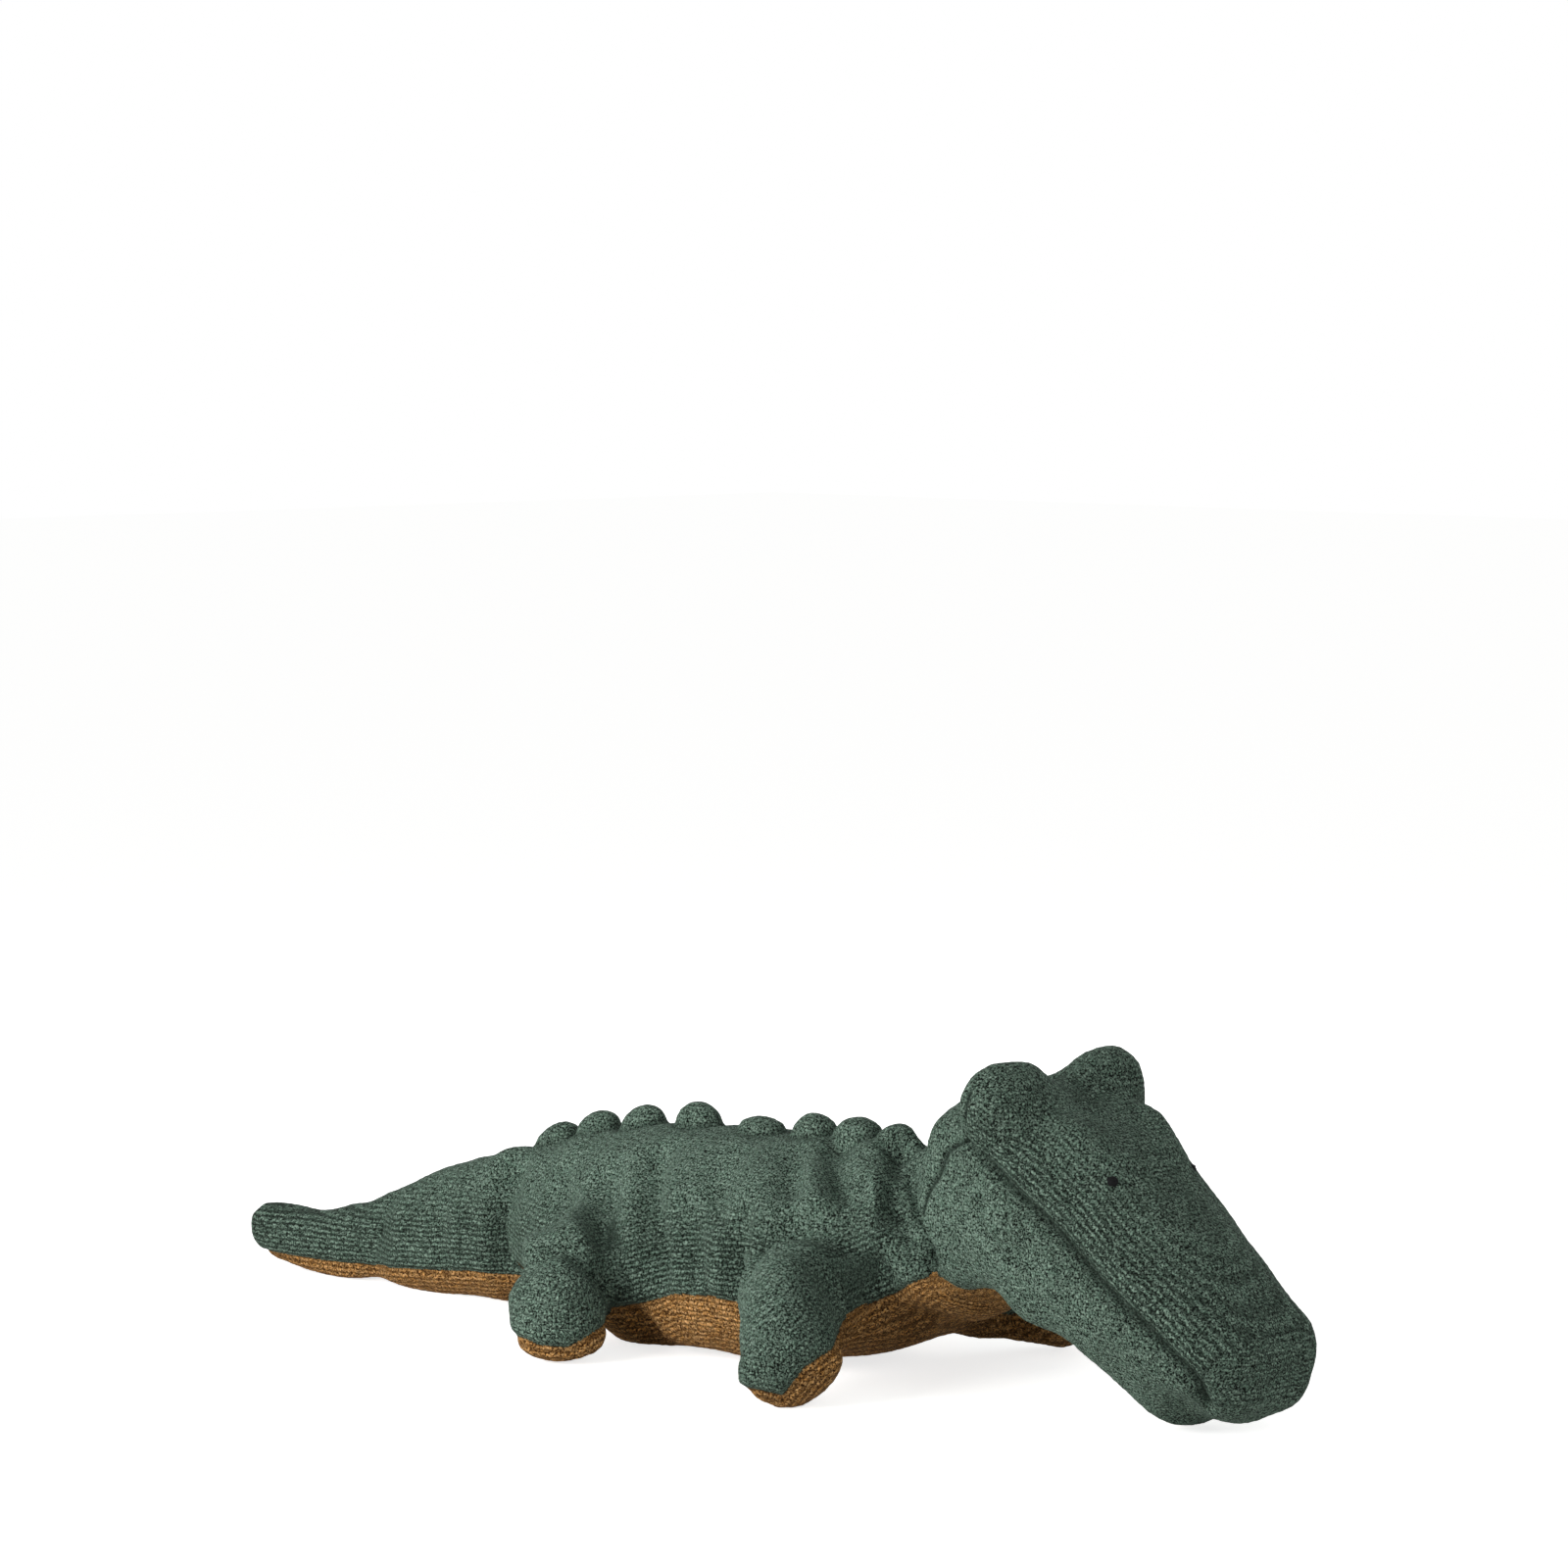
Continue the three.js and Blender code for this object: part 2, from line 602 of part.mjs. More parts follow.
for (const [name, form, socket] of [
  ["tail_base", baseForm, hollow(TAIL_ROOT_RADIUS, ORIGIN, TRUNK_SIDES)],
  ["tail_tip", tipForm, hollow(TAIL_BEND_RADIUS, bendJoint, TAIL_SIDES)],
]) {
  const { skin, filling } = layers(form, tail.matrix);
  const cut = skin.subtract(socket);
  piece(tail, name + "_upper", cut.subtract(under(tailSeam, seamHalf)), GREEN);
  piece(tail, name + "_under", cut.intersect(under(tailSeam, -seamHalf)), OCHRE);
  piece(tail, name + "_stuffing", filling.subtract(socket), STUFFING);
}

// The origin lies under the middle of the whole part
const bounds = new THREE.Box3().setFromObject(root, true);
root.position.x = -bounds.getCenter(new THREE.Vector3()).x;
const crocodile = new THREE.Group();
crocodile.name = "plush_crocodile";
crocodile.add(root);

export default crocodile;
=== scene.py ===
import json
import math

import bmesh
import bpy
import numpy as np
from mathutils import Matrix, Vector
from mathutils.bvhtree import BVHTree


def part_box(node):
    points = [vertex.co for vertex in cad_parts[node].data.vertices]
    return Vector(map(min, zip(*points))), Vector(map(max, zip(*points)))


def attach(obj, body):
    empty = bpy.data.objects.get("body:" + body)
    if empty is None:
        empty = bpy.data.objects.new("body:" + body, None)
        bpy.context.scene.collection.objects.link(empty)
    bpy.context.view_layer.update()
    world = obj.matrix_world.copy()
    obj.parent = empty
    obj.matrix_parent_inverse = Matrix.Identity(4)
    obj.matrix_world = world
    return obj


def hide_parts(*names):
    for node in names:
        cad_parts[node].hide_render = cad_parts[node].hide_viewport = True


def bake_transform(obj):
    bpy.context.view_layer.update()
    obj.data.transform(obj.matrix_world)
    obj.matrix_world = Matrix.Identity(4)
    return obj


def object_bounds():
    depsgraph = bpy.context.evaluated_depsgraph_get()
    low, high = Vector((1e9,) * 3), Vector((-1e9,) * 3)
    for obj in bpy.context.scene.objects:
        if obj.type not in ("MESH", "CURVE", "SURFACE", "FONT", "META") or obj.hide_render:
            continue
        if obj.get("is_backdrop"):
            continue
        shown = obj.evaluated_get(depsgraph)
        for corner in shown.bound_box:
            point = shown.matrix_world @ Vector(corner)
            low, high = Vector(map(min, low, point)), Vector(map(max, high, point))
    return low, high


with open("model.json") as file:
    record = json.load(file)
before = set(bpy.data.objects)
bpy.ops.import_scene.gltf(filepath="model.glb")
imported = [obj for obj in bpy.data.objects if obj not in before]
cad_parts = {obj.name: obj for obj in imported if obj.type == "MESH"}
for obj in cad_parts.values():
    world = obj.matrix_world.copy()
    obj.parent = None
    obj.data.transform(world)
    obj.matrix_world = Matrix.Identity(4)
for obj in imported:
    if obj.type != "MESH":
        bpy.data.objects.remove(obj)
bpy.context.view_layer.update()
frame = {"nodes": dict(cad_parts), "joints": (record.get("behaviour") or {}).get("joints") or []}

# %% [markdown]
# # A plush crocodile in knitted terry cloth
#
# The toy is one long stuffed bag, sewn from green and ochre panels. This lesson makes one smooth skin over
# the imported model, folds and creases it while it is still whole, and only then cuts it into the panels
# that the real toy is sewn from. That way no panel can gape against its neighbour.
#
# All lengths below are metres. MM turns a size in millimetres into metres.

MM = 0.001
joints = {joint["name"]: joint for joint in frame["joints"]}
neck = np.array(joints["neck_turn"]["pos_m"])
neck_x = neck[0]
tail_root = np.array(joints["tail_swing"]["pos_m"])
tail_bend = np.array(joints["tail_curl"]["pos_m"])

# %% [markdown]
# ## Camera
#
# The photograph was taken with a long lens from a little above the toy, in front of its right shoulder.
# The camera is aimed so that the ground under the neck falls on the pixel where the photograph shows it.

# %% the camera at the photograph's view
PHOTO_SIZE = 1600
GROUND_PIXEL = (981, 1410)
AZIMUTH = math.radians(43)
ELEVATION = math.radians(11.7)
DISTANCE = 1.75
LENS = 120
SENSOR = 36



def way_at(heading, rise):
    """The direction that is turned by a heading from straight across the toy and rises from level."""
    return Vector((-math.sin(heading) * math.cos(rise), math.cos(heading) * math.cos(rise), math.sin(rise)))


ground_point = Vector((neck_x, 0, 0))
back = -way_at(AZIMUTH, -ELEVATION)
focal_pixels = PHOTO_SIZE * LENS / SENSOR
across = (GROUND_PIXEL[0] - PHOTO_SIZE / 2) / focal_pixels
down = (GROUND_PIXEL[1] - PHOTO_SIZE / 2) / focal_pixels
pitch = math.atan(down) - ELEVATION
heading = AZIMUTH + math.atan(across / math.cos(pitch))
look = way_at(heading, pitch)
right = Vector((math.cos(heading), math.sin(heading), 0))
up = right.cross(look)

camera_data = bpy.data.cameras.new("camera")
camera_data.lens = LENS
camera_data.sensor_width = SENSOR
camera_data.clip_start = 0.1
camera_data.clip_end = 50
camera = bpy.data.objects.new("camera", camera_data)
bpy.context.scene.collection.objects.link(camera)
turn = Matrix((right, up, -look)).transposed().to_4x4()
camera.matrix_world = Matrix.Translation(ground_point + back * DISTANCE) @ turn
bpy.context.scene.camera = camera
print("camera at", tuple(round(v, 3) for v in camera.location))


def sight(pixel):
    """The direction from the camera through a pixel of the photograph."""
    sideways = (pixel[0] - PHOTO_SIZE / 2) / focal_pixels
    upwards = (PHOTO_SIZE / 2 - pixel[1]) / focal_pixels
    return (look + right * sideways + up * upwards).normalized()


# %% [markdown]
# ## One skin over the whole toy
#
# A stuffed toy has no flat faces and no sharp joins, so its skin isn't built panel by panel. Copies of the
# model's solids, all but the spikes and the eyes, are joined and remeshed on a grid of small cubes, which
# closes every gap between them. Smoothing then takes the facets away. Each round pulls the points together
# and then pushes them out a little further, so the toy doesn't shrink.

# %% helpers that read and write all points of a mesh at once


def read(items, what, columns, kind=np.float32):
    """One property of every item of a mesh, as rows of numbers."""
    flat = np.empty(len(items) * columns, kind)
    items.foreach_get(what, flat)
    return flat.reshape(-1, columns)


def points_of(thing):
    return read(thing.data.vertices, "co", 3).astype(float)


def normals_of(thing):
    return read(thing.data.vertex_normals, "vector", 3).astype(float)


def edges_of(thing):
    return read(thing.data.edges, "vertices", 2, np.int32)


def put_points(thing, points):
    thing.data.vertices.foreach_set("co", points.astype(np.float32).ravel())
    thing.data.update()


def neighbours_mean(values, edges):
    """The mean of each point's neighbours, for values with one or more columns."""
    count = len(values)
    degree = np.bincount(edges.ravel(), minlength=count).clip(1)
    columns = values.reshape(count, -1)
    total = np.empty_like(columns)
    for k in range(columns.shape[1]):
        total[:, k] = np.bincount(edges[:, 0], columns[edges[:, 1], k], count)
        total[:, k] += np.bincount(edges[:, 1], columns[edges[:, 0], k], count)
    return (total / degree[:, None]).reshape(values.shape)


def smoothed(values, edges, rounds):
    """Rounds of smoothing that pull in and push out again."""
    pull, push = 0.5, -0.52
    for _ in range(rounds):
        for factor in (pull, push):
            values = values + factor * (neighbours_mean(values, edges) - values)
    return values


def only(thing):
    bpy.ops.object.select_all(action="DESELECT")
    thing.select_set(True)
    bpy.context.view_layer.objects.active = thing


def subdivide(thing, rounds):
    only(thing)
    finer = thing.modifiers.new("finer", "SUBSURF")
    finer.levels = finer.render_levels = rounds
    bpy.ops.object.modifier_apply(modifier=finer.name)


# %% join copies of the solids, remesh them and smooth the result
VOXEL = 4.5 * MM
WELD = 0.001 * MM
SMOOTHING_ROUNDS = 12
copies = []
for name, node in frame["nodes"].items():
    if name.startswith("spike") or name in ("eye_left", "eye_right"):
        continue
    copy = node.copy()
    copy.data = node.data.copy()
    for key in list(copy.keys()):
        del copy[key]
    copy.parent = None
    bpy.context.scene.collection.objects.link(copy)
    copies.append(copy)
only(copies[0])
for copy in copies:
    copy.select_set(True)
bpy.ops.object.join()
skin = bpy.context.view_layer.objects.active
skin.name = "skin"
bpy.ops.object.mode_set(mode="EDIT")
bpy.ops.mesh.select_all(action="SELECT")
bpy.ops.mesh.remove_doubles(threshold=WELD)
bpy.ops.object.mode_set(mode="OBJECT")
skin.data.materials.clear()
skin.data.remesh_voxel_size = VOXEL
bpy.ops.object.voxel_remesh()
edges = edges_of(skin)
put_points(skin, smoothed(points_of(skin), edges, SMOOTHING_ROUNDS))
print("skin has", len(skin.data.vertices), "points after the remesh")

# %% [markdown]
# ## Places on the toy
#
# The seams follow lines across the side of the toy. Each is a short list of points, some as length and
# height and some as pixels of the photograph, which are laid onto the skin later.

# %% seam lines: millimetres from the ground under the neck or down the tail, or pixels
TRUNK_SEAM = [(-273, 13), (-185, 13), (-148, 13), (-120, 14), (-110, 16.5), (-92, 23.5), (-73, 25.7)]
TRUNK_SEAM += [(-55, 25), (-32, 21), (-20, 22.6), (-14, 26.8), (-8, 31), (3, 36.8), (9, 40.2), (117, 41)]
CHIN_SEAM_PIXELS = [(948, 1300), (969, 1309), (999, 1321)]
CHIN_SEAM_START = [(-8, 31), (3, 36.8)]
CHIN_SEAM_END = [(38, 28), (62, 20), (94, 4), (113, -6), (140, -20)]
TAIL_SEAM = [(-39, 13.9), (23.4, 12.2), (78, 7), (145, 5.4), (168, 3), (195, -6)]
TOP_SEAM_PIXELS = [(987, 1162), (1010, 1190), (1039, 1220), (1076, 1257), (1107, 1295), (1143, 1330)]
TOP_SEAM_PIXELS += [(1170, 1355), (1196, 1382), (1214, 1400), (1226, 1417), (1224, 1435)]
BACK_SEAM_PIXELS = [(997, 1113), (987, 1142), (987, 1162), (969, 1174), (957, 1199), (944, 1219)]
BACK_SEAM_PIXELS += [(940, 1264), (945, 1295)]
FRONT_SOLE_PIXELS = [(700, 1408), (757, 1418), (799, 1427), (822, 1397), (852, 1376), (866, 1347)]
FRONT_SOLE_PIXELS += [(910, 1323), (945, 1303), (1000, 1280)]
REAR_SOLE_PIXELS = [(480, 1345), (528, 1366), (550, 1375), (579, 1377), (597, 1367), (622, 1350)]
REAR_SOLE_PIXELS += [(626, 1329), (680, 1318)]


def line_of(table):
    return np.array(table, float) * MM


def beside(points, line):
    """Each point's distance from a line of points, and how far along the line it lies."""
    nearest = np.full(len(points), np.inf)
    where = np.zeros(len(points))
    for k, (a, b) in enumerate(zip(line[:-1], line[1:])):
        span = b - a
        share = np.clip(((points - a) @ span) / (span @ span), 0, 1)
        gap = np.linalg.norm(points - a - share[:, None] * span, axis=1)
        closer = gap < nearest
        nearest[closer] = gap[closer]
        where[closer] = (k + share[closer]) / (len(line) - 1)
    return nearest, where


def offset_from_line(along, height, line):
    """How far points lie above a line that runs forwards, and how far they lie from it."""
    above = height - np.interp(along, line[:, 0], line[:, 1])
    return above, beside(np.stack([along, height], 1), line)[0]


# %% frames of the tail, the head and the legs
tail_way = (tail_bend - tail_root) * (1, 1, 0)
tail_way /= np.linalg.norm(tail_way)
HEAD_SLOPE = math.radians(26)
head_way = np.array((math.cos(HEAD_SLOPE), 0, -math.sin(HEAD_SLOPE)))


def leg_frame(name):
    """The root of one leg and the way outwards from the flank there."""
    joint = joints[name + "_swing"]
    root, axis = np.array(joint["pos_m"]), np.array(joint["axis"])
    return root, -axis if root[1] > 0 else axis


LEGS = [f"leg_{end}_{side}" for end in ("front", "rear") for side in ("left", "right")]
leg_frames = {name: leg_frame(name) for name in LEGS}
print("legs at", {name: tuple(np.round(leg_frames[name][0], 3)) for name in LEGS})

# %% [markdown]
# ## Folds
#
# Stuffed cloth gathers into soft folds where it is sewn to a limb or pulled by the filling. Each fold is a
# short line traced on the photograph and laid onto the skin along the camera's line of sight. The far side
# gets the mirrored folds, a little shallower, because the two sides are never quite the same.

# %% fold lines: pixels of the photograph, then half width and depth in millimetres
FOLDS = [
    ([(395, 1236), (390, 1258), (383, 1280)], 6, 3.0),
    ([(417, 1247), (419, 1276)], 4.5, 2.4),
    ([(434, 1252), (432, 1278)], 4.5, 2.2),
    ([(452, 1226), (447, 1262), (452, 1284)], 5, 2.6),
    ([(484, 1216), (480, 1244), (482, 1276)], 6, 1.8),
    ([(524, 1196), (514, 1230), (513, 1262), (518, 1284), (528, 1296)], 6, 6.5),
    ([(545, 1290), (562, 1273), (580, 1271), (597, 1285), (612, 1305), (622, 1328)], 5, 5.2),
    ([(572, 1200), (566, 1224), (562, 1250)], 6.5, 3.7),
    ([(622, 1202), (616, 1236), (618, 1262), (622, 1290)], 6.5, 5.3),
    ([(672, 1180), (660, 1216), (662, 1246), (668, 1272), (672, 1296)], 6.5, 7.8),
    ([(697, 1236), (703, 1270), (712, 1300)], 6, 5.6),
    ([(733, 1190), (728, 1220), (731, 1250)], 7.5, 4.1),
    ([(757, 1250), (752, 1286), (755, 1318)], 6, 6.8),
    ([(764, 1294), (778, 1272), (800, 1256), (828, 1250)], 6, 7.2),
    ([(828, 1250), (852, 1262), (876, 1284), (904, 1296)], 6, 5.6),
    ([(812, 1176), (806, 1204), (812, 1232)], 6.5, 4.7),
    ([(851, 1170), (853, 1200), (862, 1228), (874, 1252)], 6, 8.2),
    ([(886, 1180), (884, 1210), (893, 1244)], 5, 4.7),
    ([(919, 1170), (911, 1204), (912, 1234), (921, 1262), (932, 1284)], 5, 8.8),
    ([(944, 1160), (932, 1188), (929, 1216), (934, 1246), (943, 1276), (948, 1300)], 4.5, 7.2),
    ([(640, 1342), (656, 1352), (668, 1366)], 6, 4.7),
]
FAR_SIDE_SHARE = 0.8
FOLD_REACH = 4
SWELL_SHARE, SWELL_PLACE = 0.2, 1.7
FADED_END = 0.08


def laid_on_skin(pixels):
    """The points of the skin that pixels of the photograph look at."""
    tree = BVHTree.FromObject(skin, bpy.context.evaluated_depsgraph_get())
    found = [tree.ray_cast(camera.location, sight(pixel))[0] for pixel in pixels]
    return np.array([tuple(point) for point in found if point is not None])


def folded(points, normals, line, half_width, depth):
    """Points pressed in along a line that fades at its ends, with a low swell on both sides."""
    gap, where = beside(points, line)
    near = gap < FOLD_REACH * half_width
    fade = np.sqrt(np.clip(np.sin(np.pi * (FADED_END + (1 - 2 * FADED_END) * where[near])), 0, 1))
    valley = np.exp(-((gap[near] / half_width) ** 2))
    swell = SWELL_SHARE * np.exp(-(((gap[near] - SWELL_PLACE * half_width) / half_width) ** 2))
    moved = points.copy()
    moved[near] -= normals[near] * (depth * fade * (valley - swell))[:, None]
    return moved


# %% [markdown]
# ## Filling pressure
#
# The panels of a stuffed toy bulge between their seams. Blender's cloth simulation does that: the skin is
# blown up by a small pressure, with the points along the seams held, and no point may move more than a
# few millimetres.

# %% the seams of the head, laid onto the skin
top_line, back_line, chin_line = (
    laid_on_skin(pixels)[:, [0, 2]] for pixels in (TOP_SEAM_PIXELS, BACK_SEAM_PIXELS, CHIN_SEAM_PIXELS)
)
back_line = back_line[np.argsort(back_line[:, 1])]
before_chin, after_chin = (line_of(table) + (neck_x, 0) for table in (CHIN_SEAM_START, CHIN_SEAM_END))
chin_line = np.concatenate([before_chin, chin_line, after_chin])
print("head seams start at", [line[0].round(3).tolist() for line in (top_line, back_line, chin_line)])

# %% the cloth simulation, with its result kept within a few millimetres
PRESSURE = 4
LAST_FRAME = 20
MOST_MOVE = 2.5 * MM
HOLD_WIDTH = 6 * MM
HEAD_START = neck_x - 6 * MM


def held_by_seams(points):
    """1 on a seam, falling to 0 a few millimetres away from it."""
    side_view = points[:, [0, 2]]
    in_head = points[:, 0] > HEAD_START
    trunk_gap = beside(side_view - (neck_x, 0), line_of(TRUNK_SEAM))[0]
    head_gap = np.min([beside(side_view, line)[0] for line in (chin_line, top_line, back_line)], axis=0)
    return np.clip(1 - np.where(in_head, head_gap, trunk_gap) / HOLD_WIDTH, 0, 1)


before = points_of(skin)
held = skin.vertex_groups.new(name="held")
for index, weight in enumerate(held_by_seams(before)):
    if weight > 0:
        held.add([index], float(weight), "REPLACE")
filling = skin.modifiers.new("filling", "CLOTH")
filling.settings.quality = 5
filling.settings.use_pressure = True
filling.settings.uniform_pressure_force = PRESSURE
filling.settings.vertex_group_mass = "held"
filling.settings.effector_weights.gravity = 0
filling.collision_settings.use_collision = False
filling.point_cache.frame_end = LAST_FRAME
for number in range(1, LAST_FRAME + 1):
    bpy.context.scene.frame_set(number)
after = points_of(skin.evaluated_get(bpy.context.evaluated_depsgraph_get()))
skin.modifiers.remove(filling)
skin.vertex_groups.clear()
move = after - before
length = np.linalg.norm(move, axis=1)
move *= np.minimum(1, MOST_MOVE / length.clip(1e-9))[:, None]
put_points(skin, before + move)
bpy.context.scene.frame_set(1)
print("pressure moved the cloth by up to", round(float(length.max()) / MM, 1), "mm")

# %% [markdown]
# ## Which cloth belongs to which part
#
# The legs, the eye ridges and the body run into each other on one skin, so every point is asked which of
# two solids of the model it lies nearer to. The answer is kept as a number that is positive on one side and
# negative on the other, so the cloth can be cut along the line where it is zero. It is made while the skin
# is coarse, and stays smooth when the skin is refined.

# %% nearness fields for legs and ridges, and the hollows beside them filled
LEG_MIDDLE, LEG_REACH = 22 * MM, 62 * MM
RIDGE_REACH = 32 * MM
FIELD_ROUNDS = 2
# how wide a hollow the stuffing fills, and in how many rounds
RIDGE_FILL = (13 * MM, 34)
LEG_FILL = (9 * MM, 10)
TAIL_FILL = (12 * MM, 16)


def tree_of(names):
    corners, faces = [], []
    for name in names:
        mesh = frame["nodes"][name].data
        start = len(corners)
        corners += [tuple(vertex.co) for vertex in mesh.vertices]
        faces += [[start + k for k in polygon.vertices] for polygon in mesh.polygons]
    return BVHTree.FromPolygons(corners, faces)


def keep_number(thing, name, values):
    field = thing.data.attributes.new(name, "FLOAT", "POINT")
    field.data.foreach_set("value", values.astype(np.float32))


def number_of(thing, name):
    return read(thing.data.attributes[name].data, "value", 1)[:, 0].astype(float)


def nearness(points, mine, others, centre, reach):
    """Positive where the skin lies nearer to my solids than to the others."""
    field = np.full(len(points), -reach)
    close = np.nonzero(np.linalg.norm(points - centre, axis=1) < reach)[0]
    my_tree, other_tree = tree_of(mine), tree_of(others)
    for k in close:
        place = Vector(points[k])
        field[k] = other_tree.find_nearest(place)[3] - my_tree.find_nearest(place)[3]
    return field


coarse = points_of(skin)
body_nodes = ["trunk_back", "trunk_belly", "neck_back", "neck_belly"]
for name in LEGS:
    root, outwards = leg_frames[name]
    nodes = [name + "_upper", name + "_sole"]
    field = nearness(coarse, nodes, body_nodes, root + outwards * LEG_MIDDLE, LEG_REACH)
    keep_number(skin, name, smoothed(field, edges, FIELD_ROUNDS))
head_nodes = ["head_top_panel", "head_side_left", "head_side_right", "head_back_panel"]
for side in ("left", "right"):
    name = "eye_ridge_" + side
    low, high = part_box(name)
    field = nearness(coarse, [name], head_nodes, (np.array(low) + np.array(high)) / 2, RIDGE_REACH)
    keep_number(skin, name, smoothed(field, edges, FIELD_ROUNDS))


def filled_between(values, field, width, rounds):
    """Hollows along the line where a field is zero, filled as stuffing fills them."""
    weight = np.exp(-((field / width) ** 2))[:, None]
    for _ in range(rounds):
        put_points(skin, values)
        facing = normals_of(skin)
        pull = neighbours_mean(values, edges) - values
        outwards = np.clip(np.sum(pull * facing, axis=1), 0, None)[:, None] * facing
        values = values + weight * outwards
    return values


for side in ("left", "right"):
    coarse = filled_between(coarse, number_of(skin, "eye_ridge_" + side), *RIDGE_FILL)
for name in LEGS:
    coarse = filled_between(coarse, number_of(skin, name), *LEG_FILL)
for place in (tail_root, tail_bend):
    coarse = filled_between(coarse, (coarse - place) @ tail_way, *TAIL_FILL)
put_points(skin, coarse)
print("filled the hollows beside the legs, the ridges and the tail's joins")

# %% [markdown]
# ## Pulling the outline into place
#
# A toy stuffed by hand never keeps the plain form of its pattern. Each pull moves the skin that a pixel of
# the photograph looks at, and what lies round it and its mirror image follow by a smaller share.

# %% pulls: a pixel, how far right and up in pixels, the width in mm, and any unusual share of the far side
PULLS = [
    ((268, 1242), (-5, 6), 10, 0.0), ((352, 1240), (-1, 5), 11), ((392, 1232), (-1, 7), 11),
    ((430, 1216), (-1, 7), 11), ((475, 1192), (-1, 4), 12), ((531, 1180), (-3, 8), 11),
    ((362, 1296), (0, -9), 14, 0.0), ((400, 1297), (0, -5), 9, 0.0), ((538, 1358), (-4, -7), 8),
    ((570, 1374), (0, -10), 9), ((604, 1360), (9, -11), 9), ((624, 1350), (4, -9), 9),
    ((640, 1354), (0, -11), 14), ((690, 1362), (0, -4), 12), ((768, 1400), (-17, -5), 9),
    ((790, 1425), (0, 4), 8), ((852, 1388), (16, -2), 9), ((955, 1352), (0, 16), 12),
    ((985, 1296), (-6, -18), 10), ((1040, 1322), (-2, -16), 14), ((1136, 1402), (5, 8), 11),
    ((1184, 1438), (3, 13), 16), ((1205, 1450), (0, 10), 13), ((1225, 1449), (0, 6), 10),
    ((1245, 1448), (0, -8), 8), ((1265, 1449), (0, 5), 10), ((1330, 1356), (6, 2), 10),
    ((1333, 1387), (3, -2), 10), ((1312, 1424), (10, -6), 10), ((1162, 1142), (3, 10), 7, 0.6),
    ((1174, 1152), (9, 13), 8, 0.6), ((1186, 1168), (9, 6), 9, 0.6), ((1136, 1082), (2, 6), 8, 0.4),
    ((1152, 1098), (9, 5), 8, 0.4), ((1010, 1102), (-6, 8), 9), ((990, 1133), (-7, 6), 10),
    ((977, 1142), (-2, 2), 8), ((968, 1156), (-7, 8), 9), ((950, 1176), (-2, 9), 9),
    ((688, 1152), (0, 5), 12), ((745, 1153), (0, 5), 12), ((590, 1168), (-1, 6), 12),
    ((640, 1160), (0, 4), 12), ((825, 1160), (0, 5), 12), ((920, 1168), (0, 7), 10),
]
PIXEL_SIZE = DISTANCE / focal_pixels
MIDDLE_FADE = 8 * MM
USUAL_SHARE = 0.8


def pulled(points, pixel, way, width, other_share=USUAL_SHARE):
    """Skin points moved with the place that a pixel looks at, and its mirror image a little less."""
    for anchor in laid_on_skin([pixel]):
        side = 1 if anchor[1] > 0 else -1
        same_side = points.copy()
        same_side[:, 1] = side * np.abs(points[:, 1])
        weight = np.exp(-((np.linalg.norm(same_side - anchor, axis=1) / (width * MM)) ** 2))
        other = points[:, 1] * side < 0
        weight[other] *= other_share
        move = np.outer(weight, np.array(right * way[0] + up * way[1]) * PIXEL_SIZE)
        move[:, 1] *= np.where(other, -1, 1) * np.clip(np.abs(points[:, 1]) / MIDDLE_FADE, 0, 1)
        points = points + move
    return points


for pull in PULLS:
    coarse = pulled(coarse, *pull)
put_points(skin, coarse)
print("pulled the skin at", len(PULLS), "places")

# %% the webs of cloth beside the front legs, and the pinched front toes
# a place in mm from the ground under the neck, the way it moves, and how far and how wide in mm
WEBS = [
    ((-20, 42, 15), (0.45, 0.0, -0.9), 9, 15),
    ((-28, 42, 9), (-0.5, 0.0, -0.85), 8, 11),
    ((-20, 46, 40), (0.15, 0.85, 0.45), 5, 13),
]
TOE_PINCH = 0.22
TOE_FORWARD = 14 * MM
PINCH_OUTWARDS = (8 * MM, 30 * MM)
PINCH_FROM_BODY = (0, 9 * MM)


def easing(values, start, end):
    share = np.clip((values - start) / (end - start), 0, 1)
    return share * share * (3 - 2 * share)


for place, way, amount, width in WEBS:
    for mirror in (1, -1):
        centre = np.array((neck_x, 0, 0)) + np.array(place) * MM * (1, mirror, 1)
        weight = np.exp(-((np.linalg.norm(coarse - centre, axis=1) / (width * MM)) ** 2))
        coarse = coarse + np.outer(weight * amount * MM, np.array(way) * (1, mirror, 1))
for name in ("leg_front_left", "leg_front_right"):
    root, outwards = leg_frames[name]
    forwards = np.array((outwards[1], -outwards[0], 0)) * (1 if outwards[1] > 0 else -1)
    rel = coarse - root
    share = easing(rel @ outwards, *PINCH_OUTWARDS) * easing(number_of(skin, name), *PINCH_FROM_BODY)
    coarse = coarse - np.outer(share * TOE_PINCH * (rel @ forwards - TOE_FORWARD), forwards)
coarse[:, 2] = np.maximum(coarse[:, 2], 0)
put_points(skin, coarse)
print("pinched the toes and pulled", len(WEBS), "webs on each side")

# %% [markdown]
# ## Finer skin, with its folds and lumps
#
# Two rounds of subdivision make squares of about a millimetre, fine enough for folds, and a third after
# the folds halves them for the seams. The filling is never quite even, so a slow random swell of about a
# millimetre goes over the whole skin too.

# %% subdivide, raise the spikes, then press the folds in
SPIKE_HEIGHTS = np.array([0, 5.4, 7.0, 7.6, 5.0, 7.6, 6.8, 7.4, 7.6]) * MM
SPIKE_SLEEK = 0.7
SPIKE_LONGER, SPIKE_WIDER, SPIKE_LOWER = 1.5 * MM, 2.5 * MM, 6 * MM
LUMPS = [(30 * MM, 1.3 * MM), (13 * MM, 0.5 * MM)]
subdivide(skin, 2)


